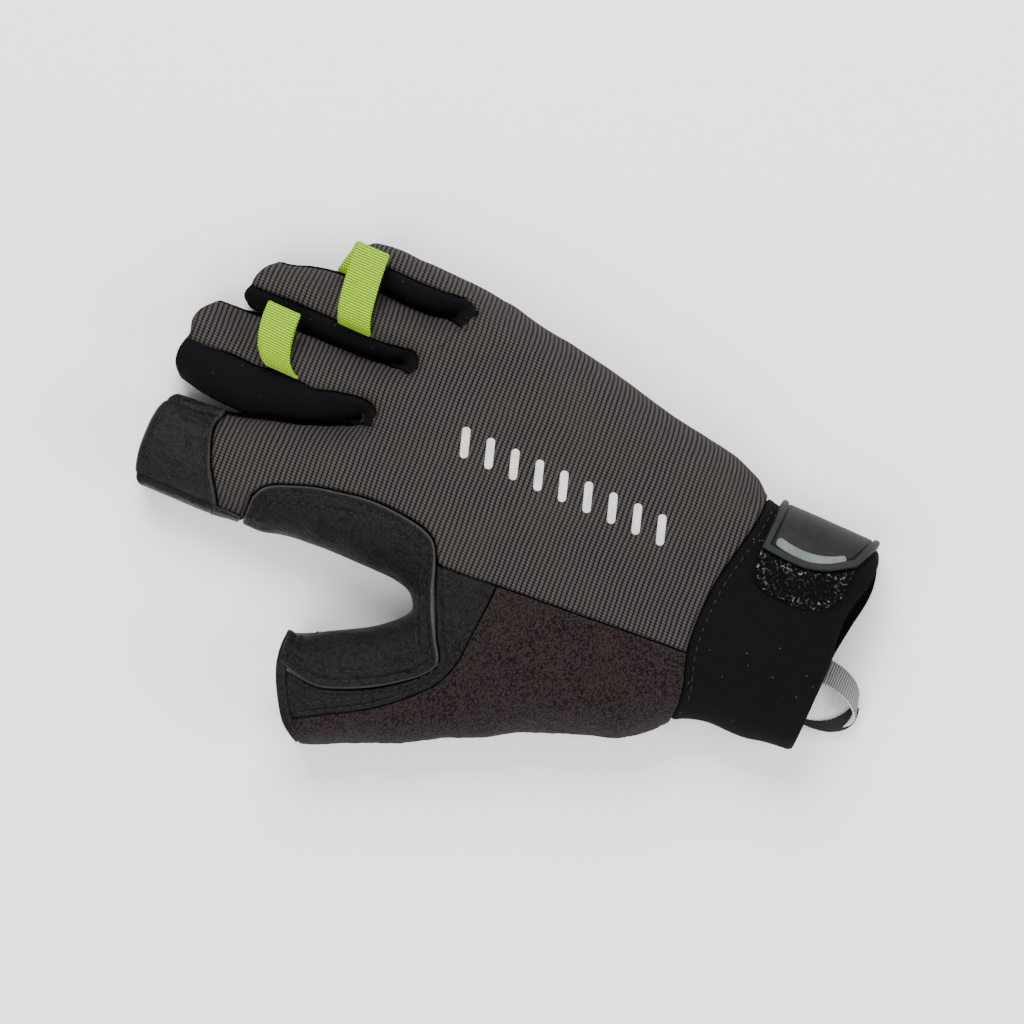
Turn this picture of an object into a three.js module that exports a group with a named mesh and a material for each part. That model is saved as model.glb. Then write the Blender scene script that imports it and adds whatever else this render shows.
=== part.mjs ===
import * as THREE from 'three';

// A half finger climbing glove for the right hand, lying palm down and slightly filled out.
// X runs across the hand towards the little finger, Y along the fingers, Z up through the back.
// The origin is on the resting face under the middle of the palm.

// Driving sizes in millimetres. The tables hold shares of these.
const PALM_BREADTH = 90;
const GLOVE_LENGTH = 208;
const EDGE_ROUND = 14;
const PALM_DEPTH = 31;
const THUMB_DEPTH = 25;
const PALM_CROWN = 1.6;
const INDEX_LENGTH = 50;
const MIDDLE_LENGTH = 52;
const RING_LENGTH = 46;
const LITTLE_LENGTH = 31;
const CAP_LENGTH = 20;
const MOUTH_BULGE = 4;
const MOUTH_RUN = 16;

// Walls and clearances.
const KNIT_WALL = 1.6;
const LEATHER_WALL = 1.4;
const GUSSET_WALL = 1.2;
const TERRY_WALL = 2.2;
const CUFF_WALL = 2.4;
const PAD_WALL = 1.4;
const TAB_WALL = 2.4;
const STRIPE_WALL = 0.5;
const TAPE_WALL = 0.9;
const PATCH_RISE = 0.6;
const SEAM_GAP = 0.4;
const LAYER_GAP = 0.3;

// Side outlines seen from above, and the rounding of the edge there.
const ULNAR = [
  { across: 0.3167, along: -0.5385, round: 0.857 },
  { across: 0.3167, along: -0.476, round: 0.857 },
  { across: 0.3167, along: -0.3846, round: 0.857 },
  { across: 0.3178, along: -0.3269, round: 0.857 },
  { across: 0.3289, along: -0.3106, round: 0.857 },
  { across: 0.3667, along: -0.2885, round: 0.893 },
  { across: 0.4, along: -0.25, round: 0.929 },
  { across: 0.4222, along: -0.2019, round: 0.964 },
  { across: 0.4444, along: -0.1442, round: 1 },
  { across: 0.4667, along: -0.0962, round: 1 },
  { across: 0.5, along: -0.024, round: 1 },
  { across: 0.5278, along: 0.0481, round: 0.929 },
  { across: 0.5556, along: 0.1202, round: 0.714 },
  { across: 0.5667, along: 0.1827, round: 0.5 },
  { across: 0.5689, along: 0.2404, round: 0.421 },
  { across: 0.5689, along: 0.2885, round: 0.421 },
  { across: 0.5622, along: 0.3173, round: 0.421 },
  { across: 0.5556, along: 0.3413, round: 0.421 },
  { across: 0.5444, along: 0.3846, round: 0.421 },
  { across: 0.5333, along: 0.5673, round: 0.421 },
];
const SLIT_INDEX_MIDDLE = [
  { across: -0.15, along: 0.5673, round: 0.893 },
  { across: -0.1389, along: 0.488, round: 0.893 },
  { across: -0.1256, along: 0.4423, round: 0.893 },
  { across: -0.1133, along: 0.4038, round: 0.893 },
  { across: -0.0822, along: 0.3606, round: 0.893 },
  { across: -0.0489, along: 0.3077, round: 0.857 },
  { across: -0.0156, along: 0.274, round: 0.786 },
  { across: 0.0133, along: 0.2538, round: 0.714 },
  { across: 0.0333, along: 0.2481, round: 0.686 },
  { across: 0.0356, along: 0.2567, round: 0.714 },
  { across: 0.0133, along: 0.2779, round: 0.786 },
  { across: -0.0344, along: 0.3106, round: 0.893 },
  { across: -0.0711, along: 0.362, round: 0.929 },
  { across: -0.0989, along: 0.3966, round: 0.929 },
  { across: -0.1044, along: 0.4183, round: 0.929 },
  { across: -0.1, along: 0.4567, round: 0.929 },
  { across: -0.0811, along: 0.5, round: 0.929 },
  { across: -0.0667, along: 0.5673, round: 0.929 },
];
const SLIT_MIDDLE_RING = [
  { across: 0.1889, along: 0.5673, round: 0.857 },
  { across: 0.1944, along: 0.4904, round: 0.857 },
  { across: 0.2, along: 0.4423, round: 0.857 },
  { across: 0.2056, along: 0.3846, round: 0.857 },
  { across: 0.2111, along: 0.3365, round: 0.857 },
  { across: 0.2167, along: 0.2885, round: 0.857 },
  { across: 0.2233, along: 0.25, round: 0.786 },
  { across: 0.2356, along: 0.2293, round: 0.686 },
  { across: 0.2467, along: 0.2245, round: 0.657 },
  { across: 0.2489, along: 0.2327, round: 0.643 },
  { across: 0.2389, along: 0.2548, round: 0.657 },
  { across: 0.2278, along: 0.2933, round: 0.671 },
  { across: 0.2222, along: 0.3365, round: 0.671 },
  { across: 0.2167, along: 0.3846, round: 0.664 },
  { across: 0.2111, along: 0.4423, round: 0.643 },
  { across: 0.2078, along: 0.4808, round: 0.643 },
  { across: 0.2056, along: 0.5673, round: 0.643 },
];
const SLIT_RING_LITTLE = [
  { across: 0.3778, along: 0.5673, round: 0.643 },
  { across: 0.3811, along: 0.4808, round: 0.643 },
  { across: 0.3867, along: 0.4351, round: 0.643 },
  { across: 0.4111, along: 0.3942, round: 0.657 },
  { across: 0.4256, along: 0.3606, round: 0.671 },
  { across: 0.4278, along: 0.3269, round: 0.671 },
  { across: 0.4267, along: 0.2885, round: 0.671 },
  { across: 0.4233, along: 0.2404, round: 0.671 },
  { across: 0.4267, along: 0.2115, round: 0.643 },
  { across: 0.4378, along: 0.1904, round: 0.571 },
  { across: 0.45, along: 0.1846, round: 0.543 },
  { across: 0.4567, along: 0.1913, round: 0.5 },
  { across: 0.4456, along: 0.2115, round: 0.45 },
  { across: 0.4367, along: 0.2404, round: 0.421 },
  { across: 0.4367, along: 0.2885, round: 0.421 },
  { across: 0.4378, along: 0.3269, round: 0.421 },
  { across: 0.4367, along: 0.3606, round: 0.421 },
  { across: 0.4344, along: 0.4327, round: 0.421 },
  { across: 0.4333, along: 0.5673, round: 0.421 },
];
// The index finger's thumb side, the crotch, and the thumb's inner side.
const RADIAL = [
  { across: -0.44, along: 0.5673, round: 0.893 },
  { across: -0.4389, along: 0.488, round: 0.893 },
  { across: -0.4367, along: 0.4423, round: 0.893 },
  { across: -0.4322, along: 0.3846, round: 0.893 },
  { across: -0.4189, along: 0.3438, round: 0.914 },
  { across: -0.4211, along: 0.3269, round: 0.929 },
  { across: -0.42, along: 0.3077, round: 0.929 },
  { across: -0.4056, along: 0.2788, round: 0.929 },
  { across: -0.3922, along: 0.2404, round: 0.95 },
  { across: -0.3889, along: 0.1923, round: 0.964 },
  { across: -0.3889, along: 0.1442, round: 0.964 },
  { across: -0.39, along: 0.1106, round: 0.893 },
  { across: -0.4067, along: 0.0865, round: 0.786 },
  { across: -0.4556, along: 0.0731, round: 0.75 },
  { across: -0.5, along: 0.0846, round: 0.786 },
  { across: -0.5556, along: 0.113, round: 0.857 },
  { across: -0.5889, along: 0.1418, round: 0.929 },
  { across: -0.6222, along: 0.1731, round: 0.964 },
  { across: -0.65, along: 0.1971, round: 0.964 },
  { across: -0.67, along: 0.2163, round: 0.964 },
  { across: -0.6978, along: 0.2452, round: 0.964 },
  { across: -0.7444, along: 0.2885, round: 0.964 },
];
const THUMB_OUTER = [
  { across: -1.0778, along: 0.2308, round: 0.964 },
  { across: -0.9889, along: 0.1442, round: 0.964 },
  { across: -0.8889, along: 0.0481, round: 1 },
  { across: -0.8333, along: 0, round: 1 },
  { across: -0.7778, along: -0.0433, round: 1 },
  { across: -0.7222, along: -0.0913, round: 1 },
  { across: -0.6667, along: -0.1298, round: 1 },
  { across: -0.6333, along: -0.1683, round: 0.964 },
  { across: -0.6, along: -0.2067, round: 0.929 },
  { across: -0.5556, along: -0.2548, round: 0.893 },
  { across: -0.5, along: -0.2885, round: 0.857 },
  { across: -0.4467, along: -0.3106, round: 0.857 },
  { across: -0.4222, along: -0.3269, round: 0.857 },
  { across: -0.4022, along: -0.3558, round: 0.857 },
  { across: -0.4, along: -0.4087, round: 0.857 },
  { across: -0.3844, along: -0.4423, round: 0.857 },
  { across: -0.3778, along: -0.476, round: 0.857 },
  { across: -0.3733, along: -0.5385, round: 0.857 },
];

// Where each finger strip is sewn to its neighbour on the back and on the palm side.
// leg runs 0 at the first fingertip, 1 at the fork, 2 at the second fingertip.
// back and palm are distances round the edge from its middle, as shares of EDGE_ROUND.
const SEAMS_INDEX_MIDDLE = [
  { leg: 0, back: 0.15, palm: 1.05 },
  { leg: 0.8, back: 0.17, palm: 1.0 },
  { leg: 0.93, back: 0.3, palm: 0.85 },
  { leg: 1, back: 0.66, palm: 0.75 },
  { leg: 1.08, back: 0.78, palm: 0.5 },
  { leg: 1.2, back: 1.0, palm: 0.36 },
  { leg: 1.35, back: 1.24, palm: 0.32 },
  { leg: 1.55, back: 1.46, palm: 0.32 },
  { leg: 1.75, back: 1.52, palm: 0.32 },
  { leg: 2, back: 1.3, palm: 0.32 },
];
const SEAMS_MIDDLE_RING = [
  { leg: 0, back: 0.15, palm: 0.9 },
  { leg: 0.8, back: 0.17, palm: 0.85 },
  { leg: 0.94, back: 0.3, palm: 0.75 },
  { leg: 1, back: 0.6, palm: 0.68 },
  { leg: 1.1, back: 0.52, palm: 0.42 },
  { leg: 1.3, back: 0.63, palm: 0.36 },
  { leg: 1.6, back: 0.76, palm: 0.34 },
  { leg: 2, back: 0.75, palm: 0.34 },
];
const SEAMS_RING_LITTLE = [
  { leg: 0, back: 0.15, palm: 0.74 },
  { leg: 0.75, back: 0.17, palm: 0.72 },
  { leg: 0.9, back: 0.28, palm: 0.66 },
  { leg: 1, back: 0.62, palm: 0.6 },
  { leg: 1.1, back: 0.57, palm: 0.3 },
  { leg: 1.3, back: 0.62, palm: 0.24 },
  { leg: 1.6, back: 0.64, palm: 0.22 },
  { leg: 2, back: 0.58, palm: 0.22 },
];
const SIDE_SEAM = 0.42;

// Back to palm thickness along the hand.
const DEPTHS = [
  { along: -0.54, depth: 0.8 },
  { along: -0.32, depth: 0.82 },
  { along: -0.2, depth: 0.9 },
  { along: -0.04, depth: 1 },
  { along: 0.12, depth: 0.97 },
  { along: 0.23, depth: 0.88 },
  { along: 0.32, depth: 0.77 },
  { along: 0.43, depth: 0.68 },
  { along: 0.57, depth: 0.65 },
];

// Soft folds pressed into the back: middle, heading in degrees, half length, half width and depth.
// Half length, half width are shares of PALM_BREADTH, depth of PALM_DEPTH.
const FOLDS = [
  { across: -0.45, along: -0.03, heading: 12, length: 0.2, width: 0.035, depth: 0.03 },
  { across: -0.36, along: -0.24, heading: 68, length: 0.14, width: 0.04, depth: 0.03 },
  { across: -0.05, along: 0.2, heading: -30, length: 0.16, width: 0.05, depth: 0.035 },
  { across: 0.3, along: 0.12, heading: -35, length: 0.18, width: 0.05, depth: 0.04 },
  { across: 0.05, along: -0.26, heading: 4, length: 0.3, width: 0.04, depth: 0.025 },
];

// Mouths of the fingers seen from above: how far the cloth reaches past the finger's length,
// as a share of MOUTH_BULGE.
const INDEX_MOUTH = [
  { across: -0.4389, past: -0.175 },
  { across: -0.4111, past: 0.425 },
  { across: -0.3333, past: 0.875 },
  { across: -0.2, past: 0.85 },
  { across: -0.1622, past: 0.475 },
  { across: -0.1389, past: -0.075 },
];
const MIDDLE_MOUTH = [
  { across: -0.0811, past: -0.025 },
  { across: -0.05, past: 0.675 },
  { across: 0.0111, past: 1.025 },
  { across: 0.0556, past: 0.775 },
  { across: 0.1, past: 0.925 },
  { across: 0.1444, past: 0.6 },
  { across: 0.1933, past: -0.375 },
];
const RING_MOUTH = [
  { across: 0.2111, past: 0.275 },
  { across: 0.2333, past: 0.75 },
  { across: 0.2722, past: 0.525 },
  { across: 0.3111, past: 0.5 },
  { across: 0.3556, past: 0.125 },
  { across: 0.3867, past: -0.525 },
];
const LITTLE_MOUTH = [
  { across: 0.4378, past: -0.275 },
  { across: 0.4667, past: 0.225 },
  { across: 0.5, past: 0.425 },
  { across: 0.5333, past: 0.225 },
  { across: 0.56, past: -0.375 },
];

// Sections of the crotch patch: place along the crotch outline between its two ends,
// the patch's outer edge on the back, and how far it reaches round to the palm.
const PATCH = [
  { at: 0, across: -0.3333, along: 0.3365, under: 0.42 },
  { at: 0.03, across: -0.2944, along: 0.3284, under: 0.52 },
  { at: 0.06, across: -0.27, along: 0.3139, under: 0.6 },
  { at: 0.1, across: -0.2511, along: 0.2942, under: 0.7 },
  { at: 0.165, across: -0.2244, along: 0.262, under: 0.8 },
  { at: 0.24, across: -0.2056, along: 0.2236, under: 0.87 },
  { at: 0.315, across: -0.1922, along: 0.1923, under: 0.92 },
  { at: 0.39, across: -0.19, along: 0.1587, under: 0.95 },
  { at: 0.455, across: -0.1956, along: 0.1298, under: 0.96 },
  { at: 0.51, across: -0.2067, along: 0.1034, under: 0.96 },
  { at: 0.545, across: -0.2311, along: 0.0837, under: 0.96 },
  { at: 0.58, across: -0.2944, along: 0.0683, under: 0.96 },
  { at: 0.605, across: -0.3667, along: 0.0567, under: 0.96 },
  { at: 0.63, across: -0.4333, along: 0.0433, under: 0.96 },
  { at: 0.655, across: -0.5056, along: 0.0274, under: 0.96 },
  { at: 0.685, across: -0.5756, along: 0.0111, under: 0.96 },
  { at: 0.725, across: -0.6278, along: 0.0226, under: 0.96 },
  { at: 0.77, across: -0.6833, along: 0.0505, under: 0.96 },
  { at: 0.815, across: -0.7333, along: 0.0817, under: 0.96 },
  { at: 0.865, across: -0.7778, along: 0.1202, under: 0.95 },
  { at: 0.91, across: -0.8, along: 0.149, under: 0.93 },
  { at: 0.955, across: -0.7978, along: 0.1779, under: 0.9 },
  { at: 1, across: -0.78, along: 0.2125, under: 0.88 },
];
const PATCH_FORK_ALONG = 0.2236;
const NOTCH_ALONG = 0.3346;
const THUMB_MOUTH_ALONG = 0.2163;
const THUMB_OUTER_ALONG = 0.1442;

// Outer edge of the layer below the patch, from the knit to the thumb opening.
const BASE_EDGE = [
  { across: -0.2778, along: -0.0192 },
  { across: -0.3667, along: -0.0183 },
  { across: -0.4667, along: -0.0154 },
  { across: -0.5556, along: -0.012 },
  { across: -0.6333, along: 0 },
  { across: -0.6944, along: 0.0216 },
  { across: -0.7444, along: 0.0433 },
  { across: -0.7889, along: 0.0673 },
  { across: -0.8333, along: 0.0962 },
  { across: -0.8778, along: 0.1298 },
  { across: -0.9111, along: 0.1538 },
  { across: -0.94, along: 0.174 },
];
// Thumb side edge of the knit, from the cuff seam up to the patch.
const KNIT_EDGE = [
  { across: -0.2278, along: -0.2938 },
  { across: -0.2367, along: -0.2404 },
  { across: -0.2478, along: -0.1827 },
  { across: -0.2589, along: -0.125 },
  { across: -0.2678, along: -0.0721 },
  { across: -0.2778, along: -0.0192 },
  { across: -0.2889, along: 0.0216 },
  { across: -0.2944, along: 0.0683 },
];
const THENAR_SEAM = [
  { across: -0.2333, along: -0.3029 },
  { across: -0.2422, along: -0.2404 },
  { across: -0.2622, along: -0.1683 },
  { across: -0.2844, along: -0.0962 },
  { across: -0.3089, along: -0.0385 },
  { across: -0.34, along: 0.0048 },
];
const CUFF_SEAM_BACK = [
  { across: -0.3833, along: -0.3115 },
  { across: -0.3333, along: -0.3077 },
  { across: -0.2778, along: -0.3 },
  { across: -0.2278, along: -0.2938 },
  { across: -0.1667, along: -0.2899 },
  { across: -0.1111, along: -0.2885 },
  { across: 0, along: -0.2899 },
  { across: 0.0556, along: -0.2933 },
  { across: 0.1111, along: -0.2981 },
  { across: 0.1889, along: -0.3048 },
  { across: 0.2444, along: -0.3087 },
  { across: 0.2844, along: -0.3101 },
];
const CUFF_SEAM_PALM = [
  { across: -0.3778, along: -0.3106 },
  { across: -0.3, along: -0.3058 },
  { across: -0.2333, along: -0.3029 },
  { across: -0.1111, along: -0.3 },
  { across: 0, along: -0.2995 },
  { across: 0.1111, along: -0.3019 },
  { across: 0.2222, along: -0.3058 },
  { across: 0.2778, along: -0.3087 },
];
const CUFF_END_BACK = [
  { across: -0.3222, along: -0.4788 },
  { across: -0.2222, along: -0.4788 },
  { across: -0.0667, along: -0.4784 },
  { across: 0, along: -0.474 },
  { across: 0.0667, along: -0.4721 },
  { across: 0.1333, along: -0.476 },
  { across: 0.2, along: -0.4837 },
  { across: 0.2778, along: -0.4837 },
];
const CUFF_END_PALM = [
  { across: -0.3222, along: -0.4793 },
  { across: -0.2222, along: -0.4798 },
  { across: -0.0667, along: -0.4808 },
  { across: 0, along: -0.4837 },
  { across: 0.0667, along: -0.4875 },
  { across: 0.1556, along: -0.4933 },
  { across: 0.2222, along: -0.4923 },
  { across: 0.2778, along: -0.4856 },
];
// Lower edge of the leather cap on the index finger: how far below the fingertip, as a share of CAP_LENGTH.
const CAP_EDGE = [
  { across: -0.4289, drop: 1.21 },
  { across: -0.4, drop: 1.15 },
  { across: -0.3333, drop: 0.96 },
  { across: -0.3, drop: 0.865 },
  { across: -0.2222, drop: 0.725 },
  { across: -0.1667, drop: 0.685 },
  { across: -0.1289, drop: 0.735 },
];
const CUFF_SEAM_RADIAL = -0.3125;
const CUFF_SEAM_ULNAR = -0.3108;
const CUFF_END_ALONG = -0.4788;

// Closure on the cuff: sections from the finger end to the mouth.
// pad is the pad's thumb side edge, tab the tab's, both shares of PALM_BREADTH.
const CLOSURE = [
  { along: -0.334, pad: 0.075, tab: 0.173, tabAlong: -0.3275 },
  { along: -0.345, pad: 0.056, tab: 0.17, tabAlong: -0.343 },
  { along: -0.365, pad: 0.048, tab: 0.1667, tabAlong: -0.365 },
  { along: -0.395, pad: 0.047, tab: 0.169, tabAlong: -0.395 },
  { along: -0.425, pad: 0.056, tab: 0.19, tabAlong: -0.425 },
  { along: -0.443, pad: 0.08, tab: 0.212, tabAlong: -0.443 },
  { along: -0.456, pad: 0.13, tab: 0.232, tabAlong: -0.457 },
];
const TAB_END_ALONG = -0.4755;
const TAB_UNDER = 0.66;

// Tape loops: pairs of edge points along the tape, from one sewn end to the other.
// x, y and z are shares of PALM_BREADTH, GLOVE_LENGTH and PALM_DEPTH.
const PULL_MIDDLE = [
  { xa: 0.064, ya: 0.3445, za: 0.76, xb: 0.064, yb: 0.393, zb: 0.76 },
  { xa: 0.073, ya: 0.3495, za: 0.81, xb: 0.075, yb: 0.4035, zb: 0.815 },
  { xa: 0.096, ya: 0.358, za: 0.855, xb: 0.1, yb: 0.413, zb: 0.865 },
  { xa: 0.135, ya: 0.3675, za: 0.88, xb: 0.14, yb: 0.4195, zb: 0.89 },
  { xa: 0.18, ya: 0.3735, za: 0.88, xb: 0.185, yb: 0.423, zb: 0.89 },
  { xa: 0.225, ya: 0.375, za: 0.85, xb: 0.225, yb: 0.4245, zb: 0.86 },
  { xa: 0.2445, ya: 0.375, za: 0.825, xb: 0.2445, yb: 0.425, zb: 0.835 },
  { xa: 0.2485, ya: 0.375, za: 0.805, xb: 0.2485, yb: 0.425, zb: 0.815 },
  { xa: 0.243, ya: 0.375, za: 0.785, xb: 0.243, yb: 0.4245, zb: 0.795 },
  { xa: 0.2, ya: 0.374, za: 0.785, xb: 0.2, yb: 0.4225, zb: 0.79 },
  { xa: 0.15, ya: 0.37, za: 0.785, xb: 0.15, yb: 0.4185, zb: 0.795 },
  { xa: 0.105, ya: 0.365, za: 0.78, xb: 0.105, yb: 0.4135, zb: 0.785 },
];
const PULL_RING = [
  { xa: 0.279, ya: 0.277, za: 0.757, xb: 0.279, yb: 0.327, zb: 0.737 },
  { xa: 0.295, ya: 0.2805, za: 0.84, xb: 0.295, yb: 0.3305, zb: 0.825 },
  { xa: 0.325, ya: 0.286, za: 0.88, xb: 0.325, yb: 0.334, zb: 0.87 },
  { xa: 0.38, ya: 0.2915, za: 0.895, xb: 0.38, yb: 0.338, zb: 0.885 },
  { xa: 0.44, ya: 0.296, za: 0.88, xb: 0.44, yb: 0.341, zb: 0.87 },
  { xa: 0.5, ya: 0.2995, za: 0.84, xb: 0.5, yb: 0.343, zb: 0.835 },
  { xa: 0.531, ya: 0.3005, za: 0.81, xb: 0.531, yb: 0.344, zb: 0.81 },
  { xa: 0.535, ya: 0.301, za: 0.79, xb: 0.535, yb: 0.3445, zb: 0.79 },
  { xa: 0.529, ya: 0.302, za: 0.77, xb: 0.529, yb: 0.345, zb: 0.77 },
  { xa: 0.48, ya: 0.305, za: 0.785, xb: 0.48, yb: 0.349, zb: 0.785 },
  { xa: 0.425, ya: 0.3075, za: 0.805, xb: 0.425, yb: 0.354, zb: 0.805 },
  { xa: 0.37, ya: 0.3065, za: 0.82, xb: 0.37, yb: 0.355, zb: 0.81 },
  { xa: 0.325, ya: 0.303, za: 0.815, xb: 0.325, yb: 0.3525, zb: 0.795 },
];
const HANG_LOOP = [
  { xa: -0.067, ya: -0.466, za: 0.13, xb: -0.135, yb: -0.466, zb: 0.33 },
  { xa: -0.067, ya: -0.483, za: 0.12, xb: -0.135, yb: -0.483, zb: 0.32 },
  { xa: -0.075, ya: -0.503, za: 0.11, xb: -0.14, yb: -0.502, zb: 0.3 },
  { xa: -0.097, ya: -0.5225, za: 0.105, xb: -0.158, yb: -0.525, zb: 0.28 },
  { xa: -0.125, ya: -0.533, za: 0.09, xb: -0.195, yb: -0.5415, zb: 0.2 },
  { xa: -0.142, ya: -0.532, za: 0.055, xb: -0.232, yb: -0.5385, zb: 0.1 },
  { xa: -0.147, ya: -0.52, za: 0.035, xb: -0.26, yb: -0.522, zb: 0.045 },
  { xa: -0.146, ya: -0.503, za: 0.04, xb: -0.275, yb: -0.503, zb: 0.045 },
  { xa: -0.142, ya: -0.49, za: 0.085, xb: -0.28, yb: -0.49, zb: 0.085 },
  { xa: -0.14, ya: -0.477, za: 0.125, xb: -0.28, yb: -0.477, zb: 0.125 },
  { xa: -0.14, ya: -0.466, za: 0.125, xb: -0.28, yb: -0.466, zb: 0.125 },
];

const COLOURS = {
  knit: [0x5b5957, 0.95],
  leather: [0x222222, 0.7],
  gusset: [0x0f0f11, 0.9],
  terry: [0x2e2524, 1],
  neoprene: [0x141414, 0.85],
  fuzz: [0x1b1b1b, 1],
  rubber: [0x4c4c4e, 0.6],
  stripe: [0xb9babb, 0.6],
  tape: [0x818382, 0.9],
  green: [0x9cc25a, 0.9],
};

const span = (t, a, b) => Math.min(Math.max((t - a) / (b - a), 0), 1);
const ease = (t) => t * t * (3 - 2 * t);

// Reads one column of a table at a value of another column, smoothly between rows.
function read(rows, key, value, at) {
  let i = 0;
  while (i < rows.length - 2 && rows[i + 1][key] < at) {
    i += 1;
  }
  const a = rows[i];
  const b = rows[i + 1];
  return a[value] + (b[value] - a[value]) * ease(span(at, a[key], b[key]));
}

const plan = (row) => ({ x: row.across * PALM_BREADTH, y: row.along * GLOVE_LENGTH });

// A side outline as a fine line with the direction into the cloth at each point.
function outline(rows, side) {
  const knots = rows.map((row) => {
    const at = plan(row);
    return new THREE.Vector3(at.x, at.y, row.round * EDGE_ROUND);
  });
  const fine = new THREE.CatmullRomCurve3(knots, false, 'centripetal').getPoints((rows.length - 1) * 12);
  let walked = 0;
  return fine.map((p, i) => {
    const a = fine[Math.max(i - 1, 0)];
    const b = fine[Math.min(i + 1, fine.length - 1)];
    const length = Math.hypot(b.x - a.x, b.y - a.y);
    if (i > 0) {
      walked += Math.hypot(p.x - a.x, p.y - a.y);
    }
    return {
      x: p.x,
      y: p.y,
      r: p.z,
      s: walked,
      nx: (-side * (b.y - a.y)) / length,
      ny: (side * (b.x - a.x)) / length,
    };
  });
}

const ulnar = outline(ULNAR, 1);
const radial = outline(RADIAL, 1);
const thumbOuter = outline(THUMB_OUTER, 1);
const slitIM = outline(SLIT_INDEX_MIDDLE, -1);
const slitMR = outline(SLIT_MIDDLE_RING, -1);
const slitRL = outline(SLIT_RING_LITTLE, -1);
const OUTLINES = [ulnar, radial, thumbOuter, slitIM, slitMR, slitRL];

// The fingers from the thumb side: where each one ends, its mouth, and where the next one begins.
const forkOf = (line) => line.reduce((low, p) => (p.y < low.y ? p : low));
const indexReach = forkOf(slitIM).y + INDEX_LENGTH;
const middleReach = forkOf(slitIM).y + MIDDLE_LENGTH;
const ringReach = forkOf(slitMR).y + RING_LENGTH;
const littleReach = forkOf(slitRL).y + LITTLE_LENGTH;
const FINGERS = [
  { reach: indexReach, mouth: INDEX_MOUTH, until: -0.109 },
  { reach: middleReach, mouth: MIDDLE_MOUTH, until: 0.2067 },
  { reach: ringReach, mouth: RING_MOUTH, until: 0.4311 },
  { reach: littleReach, mouth: LITTLE_MOUTH, until: 1 },
];

function between(a, b, t) {
  const mixed = {};
  for (const key of Object.keys(a)) {
    mixed[key] = a[key] + (b[key] - a[key]) * t;
  }
  if ('nx' in mixed) {
    const length = Math.hypot(mixed.nx, mixed.ny);
    mixed.nx /= length;
    mixed.ny /= length;
  }
  return mixed;
}

// The point at a walked distance along an outline.
function pointAt(line, s) {
  let i = 1;
  while (i < line.length - 1 && line[i].s < s) {
    i += 1;
  }
  return between(line[i - 1], line[i], span(s, line[i - 1].s, line[i].s));
}

// The walked distance at which an outline crosses a height, from its start or from its end.
function crossing(line, y, fromEnd) {
  const order = fromEnd ? [...line].reverse() : line;
  for (let i = 1; i < order.length; i += 1) {
    const a = order[i - 1];
    const b = order[i];
    if ((a.y - y) * (b.y - y) <= 0 && a.y !== b.y) {
      return a.s + (b.s - a.s) * ((y - a.y) / (b.y - a.y));
    }
  }
  return order[0].s;
}

// Stations along an outline, closer together where it bends.
function spread(line, from, to, count) {
  const walk = [];
  const steps = 240;
  let total = 0;
  let last = pointAt(line, from);
  walk.push({ s: from, total });
  for (let i = 1; i <= steps; i += 1) {
    const next = pointAt(line, from + ((to - from) * i) / steps);
    const cross = last.nx * next.ny - last.ny * next.nx;
    const turn = Math.abs(Math.atan2(cross, last.nx * next.nx + last.ny * next.ny));
    total += Math.abs(to - from) / steps / 11 + turn / 0.4;
    walk.push({ s: next.s, total });
    last = next;
  }
  const stations = [];
  for (let k = 0; k <= count; k += 1) {
    const want = (total * k) / count;
    let i = 1;
    while (i < steps && walk[i].total < want) {
      i += 1;
    }
    const t = span(want, walk[i - 1].total, walk[i].total);
    stations.push(pointAt(line, walk[i - 1].s + (walk[i].s - walk[i - 1].s) * t));
  }
  return stations;
}

// How far in from the outline a point lies that is so far round the rounded edge, and back again.
const inset = (arc, r) => {
  const a = Math.abs(arc);
  return a < (Math.PI / 2) * r ? r * (1 - Math.cos(a / r)) : r + a - (Math.PI / 2) * r;
};
const around = (distance, r) =>
  distance < r ? r * Math.acos(1 - distance / r) : (Math.PI / 2) * r + distance - r;

const onEdge = (station, arc) => {
  const d = inset(arc, station.r);
  return { x: station.x + station.nx * d, y: station.y + station.ny * d };
};

function nearest(x, y) {
  let best = { q: Infinity };
  for (const line of OUTLINES) {
    let low = Infinity;
    let hit = null;
    for (let i = 1; i < line.length; i += 1) {
      const a = line[i - 1];
      const b = line[i];
      const dx = b.x - a.x;
      const dy = b.y - a.y;
      const t = Math.min(Math.max(((x - a.x) * dx + (y - a.y) * dy) / (dx * dx + dy * dy), 0), 1);
      const far = Math.hypot(x - a.x - dx * t, y - a.y - dy * t);
      if (far < low) {
        low = far;
        hit = { a, b, t };
      }
    }
    const foot = between(hit.a, hit.b, hit.t);
    if (low / foot.r < best.q) {
      const near = low < 0.02;
      best = {
        q: low / foot.r,
        r: foot.r,
        gx: near ? foot.nx : (x - foot.x) / low,
        gy: near ? foot.ny : (y - foot.y) / low,
      };
    }
  }
  return best;
}

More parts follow.
